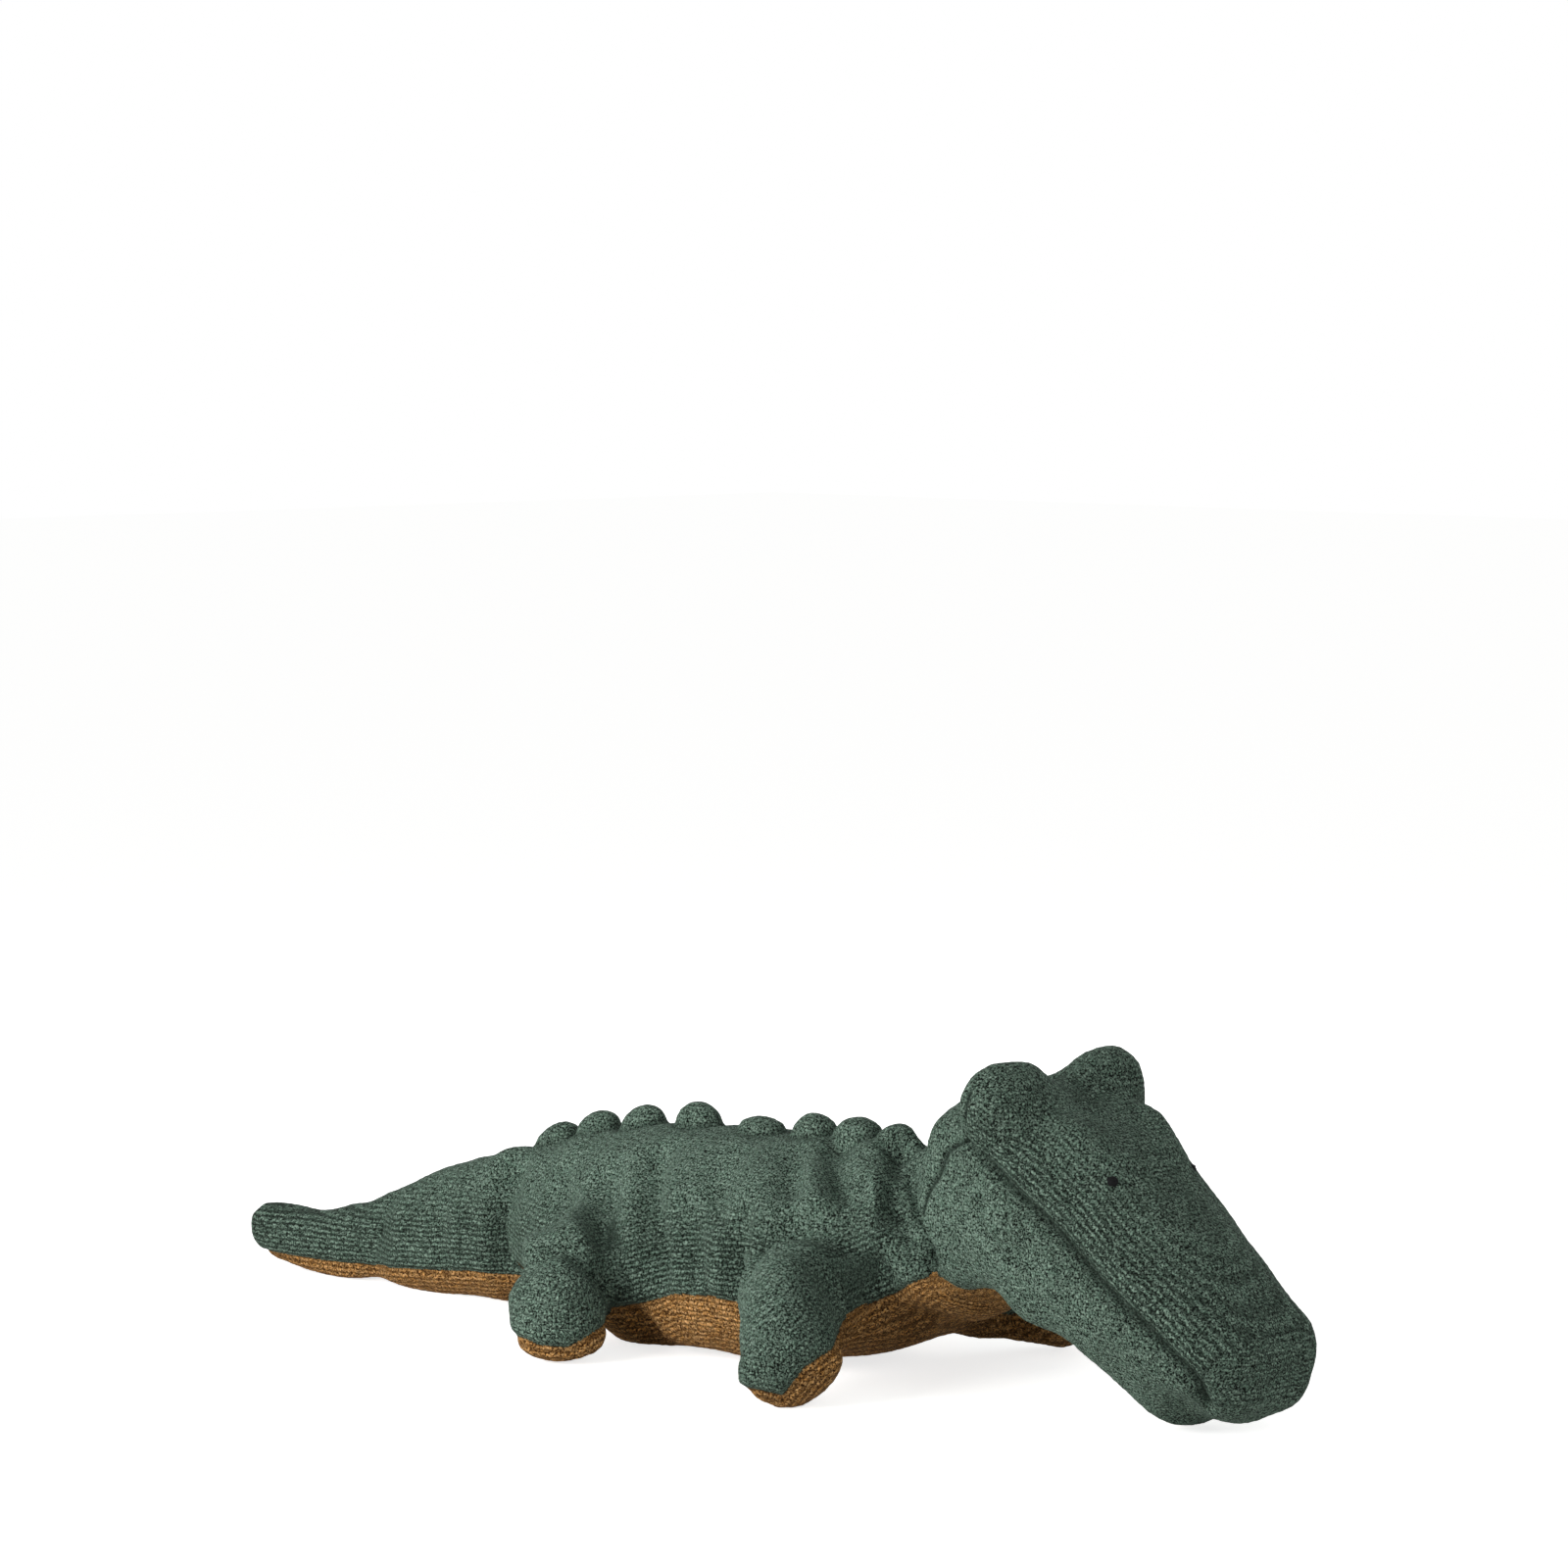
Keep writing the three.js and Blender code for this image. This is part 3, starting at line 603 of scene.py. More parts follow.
def scattered(cells, seed):
    """One random whole number for each cell of a grid."""
    mixed = (cells[:, 0] * 73856093) ^ (cells[:, 1] * 19349663) ^ (cells[:, 2] * 83492791)
    mixed = (mixed ^ (seed * 2654435761)) & 0xFFFFFFFF
    for _ in range(2):
        mixed = ((mixed >> 16) ^ mixed) * 0x45D9F3B & 0xFFFFFFFF
    return (mixed >> 16) ^ mixed


def swells(points, size, seed):
    """A smooth random field from -1 to 1, with lumps of a given size."""
    place = points / size
    corner = np.floor(place).astype(np.int64)
    ease = easing(place - corner, 0, 1)
    total = np.zeros(len(points))
    for step in np.ndindex(2, 2, 2):
        share = np.prod(np.where(step, ease, 1 - ease), axis=1)
        total += share * (scattered(corner + np.array(step), seed) / 0xFFFFFFFF)
    return total * 2 - 1


spikes = []
for k in range(1, 9):
    low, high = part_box(f"spike_{k}")
    spikes.append(((low.x + high.x) / 2, (high.x - low.x) / 2, (high.y - low.y) / 2, low.z))


def spike_shape(points):
    """How far each point lies from the nearest spike's middle, 1 at its foot, and that spike's number."""
    nearest = np.full(len(points), 9.0)
    number = np.zeros(len(points), int)
    for k, (middle, half_long, half_wide, foot) in enumerate(spikes):
        along = (points[:, 0] - middle) / (half_long + SPIKE_LONGER)
        gap = np.hypot(along, points[:, 1] / (half_wide + SPIKE_WIDER))
        mine = (gap < nearest) & (points[:, 2] > foot - SPIKE_LOWER)
        nearest[mine] = gap[mine]
        number[mine] = k + 1
    return nearest, number


points = points_of(skin)
spike_round, spike_number = spike_shape(points)
dome = np.clip(1 - spike_round**2, 0, 1) ** SPIKE_SLEEK
points[:, 2] += SPIKE_HEIGHTS[np.where(spike_round < 1, spike_number, 0)] * dome
put_points(skin, points)
normals = normals_of(skin)
for pixels, half_width, depth in FOLDS:
    near_line = laid_on_skin(pixels)
    if len(near_line) < 2:
        continue
    far_line = near_line * (1, -1, 1)
    points = folded(points, normals, near_line, half_width * MM, depth * MM)
    points = folded(points, normals, far_line, half_width * MM, FAR_SIDE_SHARE * depth * MM)
for seed, (size, height) in enumerate(LUMPS):
    points += normals * (height * swells(points, size, seed + 1))[:, None]
put_points(skin, points)
subdivide(skin, 1)
print("skin has", len(skin.data.vertices), "points at last")

# %% [markdown]
# ## Seams
#
# Where two panels are sewn together the cloth dips into a narrow groove, and the pile closes over the
# thread. The same lines that cut the panels also press these grooves, and the pile in them is painted
# darker as shade.

# %% places of all points of the fine skin
points = points_of(skin)
normals = normals_of(skin)
from_neck = points[:, 0] - neck_x
down_tail = (points - tail_root) @ tail_way
past_bend = (points - tail_bend) @ tail_way
TRUNK_ENDS = 18 * MM
HEAD_CUT = 8 * MM
TAIL_STARTS = -12 * MM
TIP_STARTS = -12 * MM
leg_field = {name: number_of(skin, name) for name in LEGS}
ridge_field = {side: number_of(skin, "eye_ridge_" + side) for side in ("left", "right")}


def seen_at(places):
    """Where the photograph shows points, in pixels across and upwards, and a pixel's size there. Points of
    the left side count by their mirror image."""
    mirrored = places.copy()
    mirrored[:, 1] = -np.abs(places[:, 1])
    from_camera = mirrored - np.array(camera.location)
    depth = from_camera @ np.array(look)
    sideways = PHOTO_SIZE / 2 + focal_pixels * (from_camera @ np.array(right)) / depth
    downwards = PHOTO_SIZE / 2 - focal_pixels * (from_camera @ np.array(up)) / depth
    return sideways, -downwards, depth / focal_pixels


is_leg = np.max(list(leg_field.values()), axis=0) > 0
is_head = (points[:, 0] > HEAD_START) & ~is_leg
is_tail = (down_tail > TAIL_STARTS) & ~is_leg
above_trunk, gap_trunk = offset_from_line(from_neck, points[:, 2], line_of(TRUNK_SEAM))
above_chin, gap_chin = offset_from_line(points[:, 0], points[:, 2], chin_line)
above_tail, gap_tail = offset_from_line(down_tail, points[:, 2], line_of(TAIL_SEAM))
above_top, gap_top = offset_from_line(points[:, 0], points[:, 2], top_line)
behind_seam = np.interp(points[:, 2], back_line[:, 1], back_line[:, 0]) - points[:, 0]
gap_back = offset_from_line(points[:, 0], points[:, 2], back_line)[1]

cloth_side = np.where(is_head, above_chin, np.where(is_tail, above_tail, above_trunk))
seam_gap = np.where(is_head, gap_chin, np.where(is_tail, gap_tail, gap_trunk))
seen_across, seen_high, pixel_size = seen_at(points)
for name in LEGS:
    mine = leg_field[name] > 0
    seam = FRONT_SOLE_PIXELS if "front" in name else REAR_SOLE_PIXELS
    above, gap = offset_from_line(seen_across, seen_high, np.array(seam, float) * (1, -1))
    cloth_side[mine] = (above * pixel_size)[mine]
    seam_gap[mine] = (gap * pixel_size)[mine]
in_front = is_head & (behind_seam < 0)
green_head = is_head & (above_chin > 0)
FAR = 1.0
crease_gap = np.where(green_head & in_front, gap_top, FAR)
panel_gap = np.where(green_head, gap_back, FAR)
print("seam points:", int((seam_gap < MM).sum()), "crease points:", int((crease_gap < MM).sum()))

# %% press the seams in
spike_round, spike_number = spike_shape(points)
# the distance from the seam, the groove's depth and width, and how far the pile is flattened and painted
# in shade there and how wide; round a spike the widths are shares of its size
GROOVES = [
    (seam_gap, 1.2 * MM, 1.5 * MM, 0.6, 0.7 * MM),
    (crease_gap, 3.6 * MM, 2.5 * MM, 0.85, 1.2 * MM),
    (panel_gap, 1.4 * MM, 1.5 * MM, 0.9, 0.9 * MM),
    (spike_round - 1, 0.7 * MM, 0.16, 0.5, 0.1),
]
# how much the pile is flattened and painted in shade along each groove
sunk, in_seam = np.zeros(len(points)), np.zeros(len(points))
for gap, depth, width, pressed, flat_shade_width in GROOVES:
    sunk = np.maximum(sunk, depth * np.exp(-((gap / width) ** 2)))
    in_seam = np.maximum(in_seam, pressed * np.exp(-((gap / flat_shade_width) ** 2)))
points -= normals * sunk[:, None]
print("seams go in by up to", round(float(sunk.max()) / MM, 1), "mm")

# %% [markdown]
# ## Places for the terry loops
#
# Terry cloth is knitted in rows, and every stitch throws up a small loop. The loops are about a millimetre
# apart and are left to the material, which draws them sharper than a mesh could. What it needs is kept on
# the points: the place on the cloth before it bends, the distance across the knitted rows, and how clearly
# the rows show. They show near the seams, where the cloth is pulled straight, and get lost where the
# filling stretches it. The mesh only gets a fine roughness, so that the outline isn't smooth.

# %% keep the place, the rows and their clearness
ROUGHNESS_SIZE, ROUGHNESS_HEIGHT, ROUGHNESS_SEED = 1.3 * MM, 0.16 * MM, 9
# how clearly rows show, from 0 to 1, and where they fade with the distance from a seam
FLANK_ROWS, FLANK_FADE = 0.75, (14 * MM, 44 * MM)
TOP_ROWS, TOP_ROWS_MORE, TOP_FADE = 0.16, 0.56, (8 * MM, 30 * MM)
SIDE_ROWS, SIDE_FADE = 0.34, (4 * MM, 20 * MM)
BELLY_ROWS, SNOUT_ROWS, GUSSET_ROWS, LEG_ROWS = 0.68, 0.5, 0.14, 0.6
SNOUT_FACING = 0.55
row_place = seam_gap.copy()
row_share = np.where(cloth_side > 0, FLANK_ROWS * (1 - easing(seam_gap, *FLANK_FADE)), BELLY_ROWS)
facing_front = normals @ head_way
on_top_panel = green_head & in_front & (above_top > 0)
on_side_panel = green_head & in_front & (above_top <= 0)
on_snout = on_top_panel & (facing_front > SNOUT_FACING)
row_place[on_top_panel] = gap_top[on_top_panel]
row_share[on_top_panel] = TOP_ROWS + TOP_ROWS_MORE * (1 - easing(gap_top, *TOP_FADE))[on_top_panel]
row_place[on_snout] = points[on_snout, 2]
row_share[on_snout] = SNOUT_ROWS
row_place[on_side_panel] = gap_top[on_side_panel]
row_share[on_side_panel] = SIDE_ROWS * (1 - easing(gap_top, *SIDE_FADE))[on_side_panel]
row_share[green_head & ~in_front] = GUSSET_ROWS
row_share[is_leg & (cloth_side > 0)] *= LEG_ROWS
cloth_place = skin.data.attributes.new("cloth_place", "FLOAT_VECTOR", "POINT")
cloth_place.data.foreach_set("vector", points.astype(np.float32).ravel())
keep_number(skin, "row_place", row_place)
keep_number(skin, "row_share", row_share)
keep_number(skin, "in_seam", in_seam)
points += normals * (ROUGHNESS_HEIGHT * swells(points, ROUGHNESS_SIZE, ROUGHNESS_SEED))[:, None]
points[:, 2] = np.maximum(points[:, 2], 0)
put_points(skin, points)
print("kept places and rows on", len(points), "points")

# %% [markdown]
# ## Cutting the skin into its panels
#
# Every face is given the number of its panel, a later panel taking faces from an earlier one. Scraps that
# end up cut off from their panel go to the panel they lie in, and Blender separates the skin by number.

# %% number the faces
face_corners = read(skin.data.polygons, "vertices", 4, np.int32)


def on_faces(values):
    return values[face_corners].mean(axis=1)


panel_names = []
panel_of_face = np.zeros(len(face_corners), np.int32)


def cut_panel(name, where):
    panel_names.append(name)
    panel_of_face[where] = len(panel_names) - 1


face_green = on_faces(cloth_side) > 0
face_x, face_y = on_faces(points[:, 0]), on_faces(points[:, 1])
face_leg = {name: on_faces(leg_field[name]) > 0 for name in LEGS}
face_any_leg = np.any(list(face_leg.values()), axis=0)
face_head = (face_x > neck_x + HEAD_CUT) & ~face_any_leg
face_neck = (face_x > neck_x - TRUNK_ENDS) & ~face_head & ~face_any_leg
face_tail = (on_faces(down_tail) > TAIL_STARTS) & ~face_any_leg
face_tip = (on_faces(past_bend) > TIP_STARTS) & face_tail
for green, ochre, where in (
    ("trunk_back", "trunk_belly", True),
    ("neck_back", "neck_belly", face_neck),
    ("tail_base_upper", "tail_base_under", face_tail),
    ("tail_tip_upper", "tail_tip_under", face_tip),
):
    cut_panel(green, face_green & where)
    cut_panel(ochre, ~face_green & where)
cut_panel("chin_panel", face_head & ~face_green)
cut_panel("head_side_left", face_head & face_green & (face_y > 0))
cut_panel("head_side_right", face_head & face_green & (face_y <= 0))
cut_panel("head_top_panel", face_head & face_green & (on_faces(above_top) > 0))
cut_panel("head_back_panel", face_head & face_green & (on_faces(behind_seam) > 0))
for side in ("left", "right"):
    cut_panel("eye_ridge_" + side, face_head & (on_faces(ridge_field[side]) > 0))
for name in LEGS:
    cut_panel(name + "_upper", face_leg[name] & face_green)
    cut_panel(name + "_sole", face_leg[name] & ~face_green)
face_spike = np.where(on_faces(spike_round) < 1, spike_number[face_corners[:, 0]], 0)
for k in range(1, 9):
    cut_panel(f"spike_{k}", (face_spike == k) & face_green & ~face_head & ~face_any_leg)
print("numbered", len(panel_of_face), "faces for", len(panel_names), "panels")

# %% give scraps to their neighbours
SMALLEST_PANEL = 350


def islands_of(pairs, count):
    """The lowest face number in each group of faces that hang together."""
    lowest = np.arange(count)
    while True:
        ends = lowest[pairs]
        joined = lowest.copy()
        for end in (0, 1):
            np.minimum.at(joined, ends[:, end], ends.min(axis=1))
        while not np.array_equal(joined, joined[joined]):
            joined = joined[joined]
        joined = joined[lowest]
        if np.array_equal(joined, lowest):
            return lowest
        lowest = joined


side_edges = read(skin.data.loops, "edge_index", 1, np.int32)[:, 0]
by_edge = np.argsort(side_edges, kind="stable")
shared = side_edges[by_edge][:-1] == side_edges[by_edge][1:]
beside_faces = np.stack([by_edge[:-1][shared] // 4, by_edge[1:][shared] // 4], axis=1)
same_panel = panel_of_face[beside_faces[:, 0]] == panel_of_face[beside_faces[:, 1]]
island = islands_of(beside_faces[same_panel], len(face_corners))
is_scrap = np.bincount(island, minlength=len(island))[island] < SMALLEST_PANEL
is_scrap &= panel_of_face < panel_names.index("spike_1")
print("scraps of cloth given to their neighbours:", is_scrap.sum(), "faces")
while is_scrap.any():
    for mine, other in ((0, 1), (1, 0)):
        a, b = beside_faces[:, mine], beside_faces[:, other]
        edge_of_scrap = is_scrap[a] & ~is_scrap[b]
        panel_of_face[a[edge_of_scrap]] = panel_of_face[b[edge_of_scrap]]
        is_scrap[a[edge_of_scrap]] = False

# %% separate the panels
for name in panel_names:
    skin.data.materials.append(bpy.data.materials.new("panel_" + name))
skin.data.polygons.foreach_set("material_index", panel_of_face)
skin.data.update()
only(skin)
bpy.ops.object.mode_set(mode="EDIT")
bpy.ops.mesh.select_all(action="SELECT")
bpy.ops.mesh.separate(type="MATERIAL")
bpy.ops.object.mode_set(mode="OBJECT")
panels = {}
for thing in list(bpy.context.selected_objects):
    number = thing.data.polygons[0].material_index
    name = thing.material_slots[number].material.name.removeprefix("panel_")
    panels[name] = thing
print("cut", len(panels), "panels of", len(panel_names))

# %% [markdown]
# ## Closing the panels
#
# A panel that has been cut out is open at its edges. Each opening is closed with a fan of flat triangles
# to one point: just behind a small opening, and in the middle of the filling for a large one.

# %% close each panel
CAP_DEPTH = 3 * MM
SMALL_RIM = 40 * MM


def middle_of_filling(name):
    part = "head" if "head" in name or "chin" in name or "ridge" in name else name.rsplit("_", 1)[0]
    low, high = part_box(part + "_stuffing")
    return (low + high) / 2


def rims_of(mesh):
    """The open edges of a mesh in connected groups."""
    seen, groups = set(), []
    for first in mesh.edges:
        if first.is_boundary and first not in seen:
            seen.add(first)
            group = [first]
            for edge in group:
                for other in (other for vertex in edge.verts for other in vertex.link_edges):
                    if other.is_boundary and other not in seen:
                        seen.add(other)
                        group.append(other)
            groups.append(group)
    return groups


def close_panel(thing, name):
    mesh = bmesh.new()
    mesh.from_mesh(thing.data)
    groups = rims_of(mesh)
    for group in groups:
        ends = {vertex for edge in group for vertex in edge.verts}
        middle = sum((vertex.co for vertex in ends), Vector()) / len(ends)
        facing = sum((vertex.normal for vertex in ends), Vector()) / len(ends)
        wide = max((vertex.co - middle).length for vertex in ends) * 2
        hub = mesh.verts.new(middle - facing * CAP_DEPTH if wide < SMALL_RIM else middle_of_filling(name))
        for edge in group:
            loop = edge.link_loops[0]
            face = mesh.faces.new((loop.link_loop_next.vert, loop.vert, hub))
            face.smooth = False
            edge.smooth = False
    mesh.to_mesh(thing.data)
    mesh.free()
    return len(groups)


caps = 0
for name, piece in panels.items():
    piece.name = "terry_" + name
    piece.data.name = "terry_" + name
    caps += close_panel(piece, name)
    piece.data.materials.clear()
print("closed", caps, "openings of", len(panels), "panels")

# %% [markdown]
# ## Eyes
#
# Each eye is a small knot of black thread, pulled tight against the cloth: a short coil with a stitch
# through its middle.

# %% the two knots
THREAD = 0.5 * MM
KNOT_WIDE = 3.6 * MM
CREST_NEAR = 5 * MM
# how far the knots stand off the cloth
PROUD = {"left": -0.25 * MM, "right": 0.55 * MM}


def knot(name, place, facing):
    """A flat coil of thread and one stitch over it, set on the cloth at a place."""
    bpy.ops.object.select_all(action="DESELECT")
    bpy.ops.mesh.primitive_torus_add(
        major_segments=28, minor_segments=10, major_radius=KNOT_WIDE / 2 - THREAD, minor_radius=THREAD
    )
    eye = bpy.context.view_layer.objects.active
    eye.name = name
    bpy.ops.object.mode_set(mode="EDIT")
    bpy.ops.mesh.primitive_torus_add(
        major_segments=20,
        minor_segments=10,
        major_radius=KNOT_WIDE / 2 - 2 * THREAD,
        minor_radius=THREAD * 0.95,
        location=(0, 0, THREAD * 0.9),
    )
    bpy.ops.mesh.primitive_uv_sphere_add(
        segments=24, ring_count=12, radius=THREAD * 1.5, location=(0, 0, THREAD * 1.1)
    )
    bpy.ops.transform.resize(value=(2.0, 0.8, 0.8), center_override=(0, 0, THREAD))
    bpy.ops.object.mode_set(mode="OBJECT")
    # thread that is wound by hand lies a little uneven
    wound = points_of(eye)
    turn = np.arctan2(wound[:, 1], wound[:, 0])
    wound[:, 2] += 0.12 * MM * np.sin(turn * 3 + 0.6) + 0.08 * MM * np.sin(turn * 14)
    wound[:, :2] *= (1 + 0.05 * np.sin(turn * 5 + 1.1))[:, None]
    put_points(eye, wound)
    eye.data.shade_smooth()
    quaternion = facing.to_track_quat("Z", "Y")
    eye.data.transform(Matrix.Translation(place) @ quaternion.to_matrix().to_4x4())
    return eye


eyes = {}
side_tree = BVHTree.FromObject(panels["head_top_panel"], bpy.context.evaluated_depsgraph_get())
for side in ("left", "right"):
    low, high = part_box("eye_" + side)
    place = side_tree.find_nearest((low + high) / 2)[0]
    facing = Vector((0, 0, 0))
    for spot in side_tree.find_nearest_range(place, CREST_NEAR):
        facing += spot[1]
    facing.normalize()
    eyes[side] = knot("eye_knot_" + side, place + facing * PROUD[side], facing)
    print("eye", side, "at", [round(v, 4) for v in place], "facing", [round(v, 2) for v in facing])

# %% [markdown]
# ## Materials
#
# The green and the ochre cloth are the same cotton terry in two dyes. Cotton has no gloss of its own: its
# fibres scatter light, and the fuzz on the loops catches light that grazes it, which the sheen gives. The
# pile is painted darker deep between the loops, between the rows and in the seams, as shade, and every
# loop takes the dye a little differently. The knots are plain cotton thread, dark and with only a faint
# shine along its strands.

# %% helpers for colours and nodes


def dye(code):
    """An sRGB hex colour as linear values."""
    parts = [int(code[k : k + 2], 16) / 255 for k in (1, 3, 5)]
    return tuple(v / 12.92 if v <= 0.04045 else ((v + 0.055) / 1.055) ** 2.4 for v in parts) + (1.0,)


def add_node(owner, kind, sockets, **properties):
    """Add a node. A socket gets a link from an output, or from a node's first output, or else a value."""
    tree = owner.node_tree
    node = tree.nodes.new("ShaderNode" + kind)
    for name, value in properties.items():
        setattr(node, name, value)
    for name, value in sockets.items():
        if isinstance(value, bpy.types.Node):
            value = value.outputs[0]
        if isinstance(value, bpy.types.NodeSocket):
            tree.links.new(value, node.inputs[name])
        else:
            node.inputs[name].default_value = value
    return node


def without_nodes(owner):
    """A new material or world, ready for nodes of its own."""
    owner.use_nodes = True
    owner.node_tree.nodes.clear()
    return owner


# %% cotton terry
# single fibres would be too fine to show, so they are drawn as tufts of half a millimetre
LOOP_PITCH, ROW_PITCH, FIBRE = 1.1 * MM, 1.85 * MM, 0.5 * MM
# the dye varies over MOTTLE, rows wander over SWAY, by so many radians, and from loop to loop over WOBBLE
MOTTLE, SWAY, WOBBLE = 22 * MM, 16 * MM, 1.6 * MM
SWAY_TURNS, LOOP_WOBBLE = 4.0, 5.0
# the low pile height in a seam, which flattens the loops and paints the seam dark as shade
SEAM_SHADE_HEIGHT = 0.04


def cotton_terry(name, shade_between_loops, tip, pale):
    """Looped cotton: painted shade between the loops, the colours on their tips, and of the loops that took
    least dye.
    """
    terry = without_nodes(bpy.data.materials.new(name))
    place = add_node(terry, "Attribute", {}, attribute_name="cloth_place").outputs["Vector"]
    across, clear, pinched = (
        add_node(terry, "Attribute", {}, attribute_name=kept).outputs["Fac"]
        for kept in ("row_place", "row_share", "in_seam")
    )
    fibres, sway, wobble, clouds = (
        add_node(terry, "TexNoise", {"Vector": place, "Scale": 1 / size, "Detail": detail})
        for size, detail in ((FIBRE, 0.0), (SWAY, 1.0), (WOBBLE, 0.0), (MOTTLE, 4.0))
    )
    loops = add_node(terry, "TexVoronoi", {"Vector": place, "Scale": 1 / LOOP_PITCH, "Randomness": 0.6})
    dome = add_node(terry, "MapRange", {"Value": loops, "From Min": 0.56, "From Max": 0.25})
    fuzz = add_node(terry, "MapRange", {"Value": fibres, "From Min": 0.44, "From Max": 0.56})
    pile = add_node(terry, "Mix", {"Factor": 0.5, "A": dome, "B": fuzz})

    drift = add_node(terry, "Math", {0: sway, 1: SWAY_TURNS}, operation="MULTIPLY")
    jitter = add_node(terry, "Math", {0: wobble, 1: LOOP_WOBBLE, 2: drift}, operation="MULTIPLY_ADD")
    per_length = 2 * math.pi / ROW_PITCH
    turns = add_node(terry, "Math", {0: across, 1: per_length, 2: jitter}, operation="MULTIPLY_ADD")
    wave = add_node(terry, "Math", {0: turns}, operation="COSINE")
    rows = add_node(terry, "MapRange", {"Value": wave, "From Min": -0.7, "From Max": 0.6})
    ridges = add_node(terry, "Mix", {"Factor": clear, "A": 1.0, "B": rows})
    rise = add_node(terry, "Math", {0: pile, 1: ridges}, operation="MULTIPLY")
    # in the seams the pile is flattened, and its colour is painted dark as shade
    height = add_node(terry, "Mix", {"Factor": pinched, "A": rise, "B": SEAM_SHADE_HEIGHT})

    apart = add_node(terry, "SeparateColor", {"Color": loops.outputs["Color"]})
    tips = add_node(terry, "Mix", {0: apart, 6: dye(tip), 7: dye(pale)}, data_type="RGBA").outputs[2]
    # the colour follows the pile's height: painted shade deep between the loops, between the rows and in
    # the seams
    cover = add_node(terry, "Mix", {0: height, 6: dye(shade_between_loops), 7: tips}, data_type="RGBA").outputs[2]
    spread = {"From Min": 0.3, "From Max": 0.7, "To Min": 0.94, "To Max": 1.06}
    uneven = add_node(terry, "MapRange", {"Value": clouds} | spread)
    colour = add_node(terry, "VectorMath", {0: cover, "Scale": uneven}, operation="SCALE")
    bump = add_node(terry, "Bump", {"Height": height, "Strength": 0.95, "Distance": 0.4 * MM})
    sheen = {"Sheen Weight": 0.06, "Sheen Roughness": 0.5, "Sheen Tint": dye(pale)}
    matt = {"Roughness": 0.95, "Specular IOR Level": 0.08}
    cloth = add_node(terry, "BsdfPrincipled", {"Base Color": colour, "Normal": bump} | matt | sheen)
    add_node(terry, "OutputMaterial", {"Surface": cloth})
    return terry


# the first colour of each is painted shade deep between the loops
green_terry = cotton_terry("green_cotton_terry", "#070c08", "#708979", "#8aa191")
ochre_terry = cotton_terry("ochre_cotton_terry", "#2d1804", "#dba05a", "#e8b87c")

# %% black sewing thread
STRAND = 1.2 * MM
black_thread = without_nodes(bpy.data.materials.new("black_cotton_thread"))
place = add_node(black_thread, "TexCoord", {}).outputs["Object"]
wave = add_node(black_thread, "TexWave", {"Vector": place, "Scale": 1 / STRAND, "Distortion": 2.0})
strands = wave.outputs["Fac"]
darks = {6: dye("#050506"), 7: dye("#0e0f10")}
tint = add_node(black_thread, "Mix", {0: strands} | darks, data_type="RGBA").outputs[2]
twist = add_node(black_thread, "Bump", {"Height": strands, "Strength": 0.4, "Distance": 0.1 * MM})
faint = {"Roughness": 0.8, "Specular IOR Level": 0.15}
wound_thread = add_node(black_thread, "BsdfPrincipled", {"Base Color": tint, "Normal": twist} | faint)
add_node(black_thread, "OutputMaterial", {"Surface": wound_thread})
print("materials:", [m.name for m in (green_terry, ochre_terry, black_thread)])

# %% [markdown]
# ## What moves with what
#
# The trunk's cloth stays with the trunk, and the eyes go with the head. The cloth of the other panels is
# baked where it lies.

# %% bodies and slots
OCHRE_ENDINGS = ("belly", "under", "sole", "chin_panel")


for name, piece in panels.items():
    is_ochre = name.endswith(OCHRE_ENDINGS)
    piece.data.materials.append(ochre_terry if is_ochre else green_terry)
    if name.startswith("neck"):
        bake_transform(piece)
    elif name.startswith(("chin", "head", "eye_ridge")):
        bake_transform(piece)
    elif name.startswith("tail_base") or name == "spike_8":
        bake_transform(piece)
    elif name.startswith("tail_tip"):
        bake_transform(piece)
    elif name.startswith("leg"):
        leg = name.rsplit("_", 1)[0]
        root, outwards = leg_frames[leg]
        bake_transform(piece)
    else:
        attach(piece, "trunk")
filled = {"trunk_back": "trunk_stuffing", "neck_back": "neck_stuffing", "head_top_panel": "head_stuffing"}
filled |= {part + "_upper": part + "_stuffing" for part in ["tail_base", "tail_tip"] + LEGS}
for name, piece in panels.items():
    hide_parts(name, *([filled[name]] if name in filled else []))
for side, eye in eyes.items():
    eye.data.materials.append(black_thread)
    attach(eye, "head")
    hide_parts("eye_" + side)
print("pieces:", len(panels) + len(eyes))

# %% [markdown]
# ## Floor, light and background
#
# The floor and the background are plain white. The floor still takes the toy's shadow, because its white
# is a surface that the lamps light, lifted a little for rays straight from the camera. Of the four soft
# lamps, the key and a low reflector stand on the tail's side, one before the head and one behind the toy.

# %% floor
FLOOR_HALF = 6.0
FLOOR_LIFT = 0.74


def seen_plainly(owner):
    """1 for rays from the camera and for those that glossy or clear things pass on, or else 0."""
    ray = add_node(owner, "LightPath", {})
    seen = ray.outputs["Is Camera Ray"]
    for kind in ("Is Glossy Ray", "Is Transmission Ray"):
        seen = add_node(owner, "Math", {0: seen, 1: ray.outputs[kind]}, operation="MAXIMUM").outputs[0]
    return seen


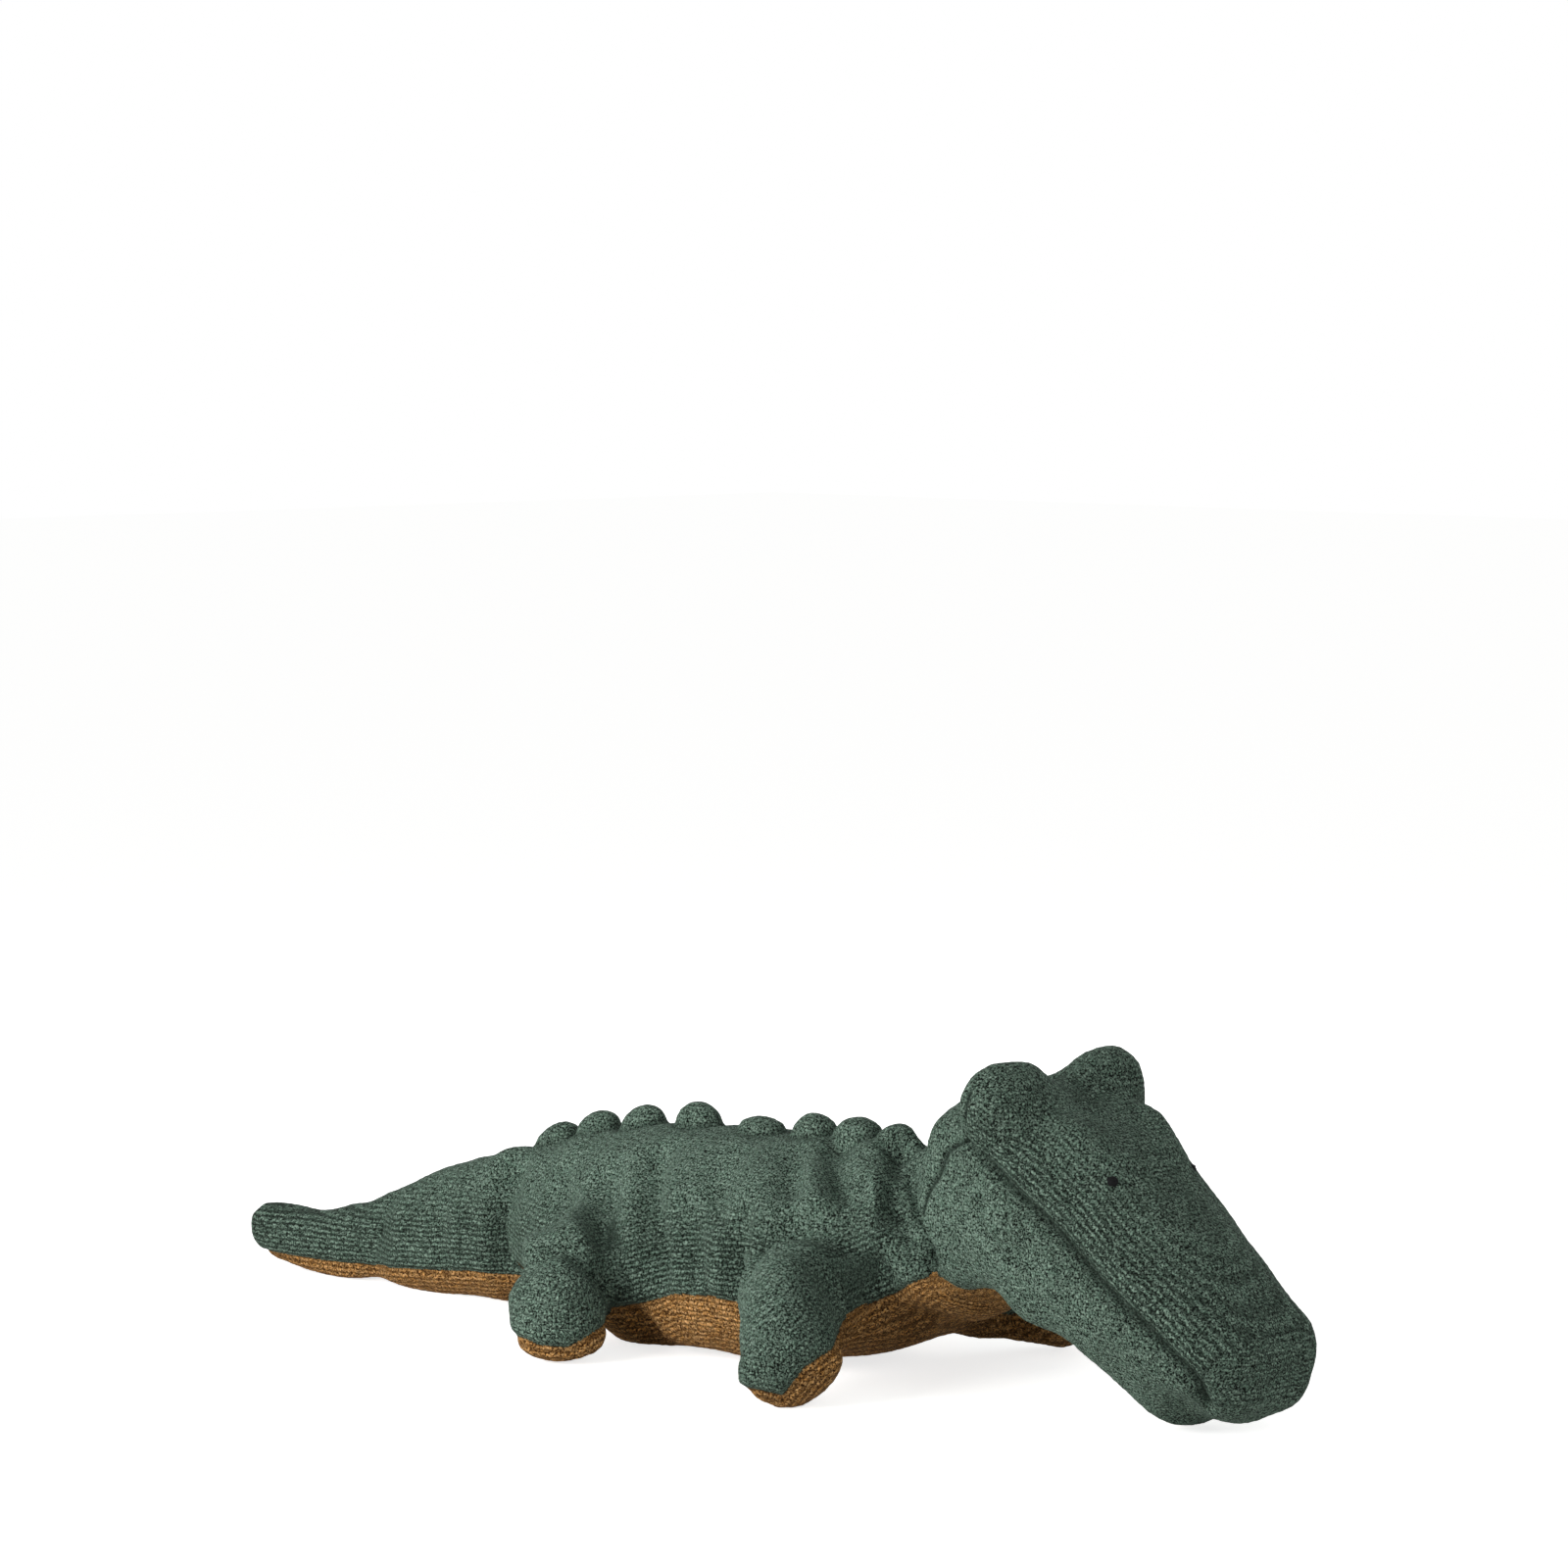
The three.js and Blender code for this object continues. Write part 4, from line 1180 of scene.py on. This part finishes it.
bpy.ops.object.select_all(action="DESELECT")
bpy.ops.mesh.primitive_grid_add(x_subdivisions=4, y_subdivisions=4, size=2 * FLOOR_HALF)
floor = bpy.context.view_layer.objects.active
floor.name = "floor"
paper = without_nodes(bpy.data.materials.new("white_paper_sweep"))
lift = add_node(paper, "Math", {0: seen_plainly(paper), 1: FLOOR_LIFT}, operation="MULTIPLY")
matt = add_node(paper, "BsdfDiffuse", {"Color": dye("#f2f2f0")})
glow = add_node(paper, "Emission", {"Strength": lift})
both = add_node(paper, "AddShader", {0: matt, 1: glow})
add_node(paper, "OutputMaterial", {"Surface": both})
floor.data.materials.append(paper)
floor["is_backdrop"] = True
print("floor of", 2 * FLOOR_HALF, "m")

# %% world: white where the camera sees it, a plain grey light elsewhere
FILL_LIGHT = 0.28
WHITE = dye("#ffffff")
world = without_nodes(bpy.data.worlds.new("studio"))
bpy.context.scene.world = world
grey = add_node(world, "Background", {"Color": WHITE, "Strength": FILL_LIGHT})
white = add_node(world, "Background", {"Color": WHITE, "Strength": 1.0})
sky = add_node(world, "MixShader", {0: seen_plainly(world), 1: grey, 2: white})
add_node(world, "OutputWorld", {"Surface": sky})
print("light from all round at", FILL_LIGHT)

# %% four soft lamps: metres to the right, towards the camera and up, then size in metres and watts
LAMPS = {
    "key": (-0.62, 0.47, 0.34, 0.5, 3.7),
    "reflector": (-0.38, 0.25, 0.08, 0.35, 1.6),
    "front": (0.35, 0.55, 0.32, 0.4, 1.0),
    "behind": (0.25, -0.65, 0.4, 0.6, 1.7),
}
towards_camera = Vector((back.x, back.y, 0)).normalized()
for name, (sideways, nearer, high, size, watts) in LAMPS.items():
    lamp_data = bpy.data.lights.new(name, "AREA")
    lamp_data.shape = "DISK"
    lamp_data.size = size
    lamp_data.energy = watts
    lamp = bpy.data.objects.new(name, lamp_data)
    bpy.context.scene.collection.objects.link(lamp)
    lamp.location = right * sideways + towards_camera * nearer + Vector((0, 0, high))
    lamp.rotation_euler = lamp.location.to_track_quat("Z", "Y").to_euler()
    lamp.visible_camera = False
    print("lamp", name, "at", tuple(round(v, 2) for v in lamp.location))
bpy.context.scene.view_settings.view_transform = "Standard"

# %% the bounds of the toy's pieces, to finish
seen_low, seen_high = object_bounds()
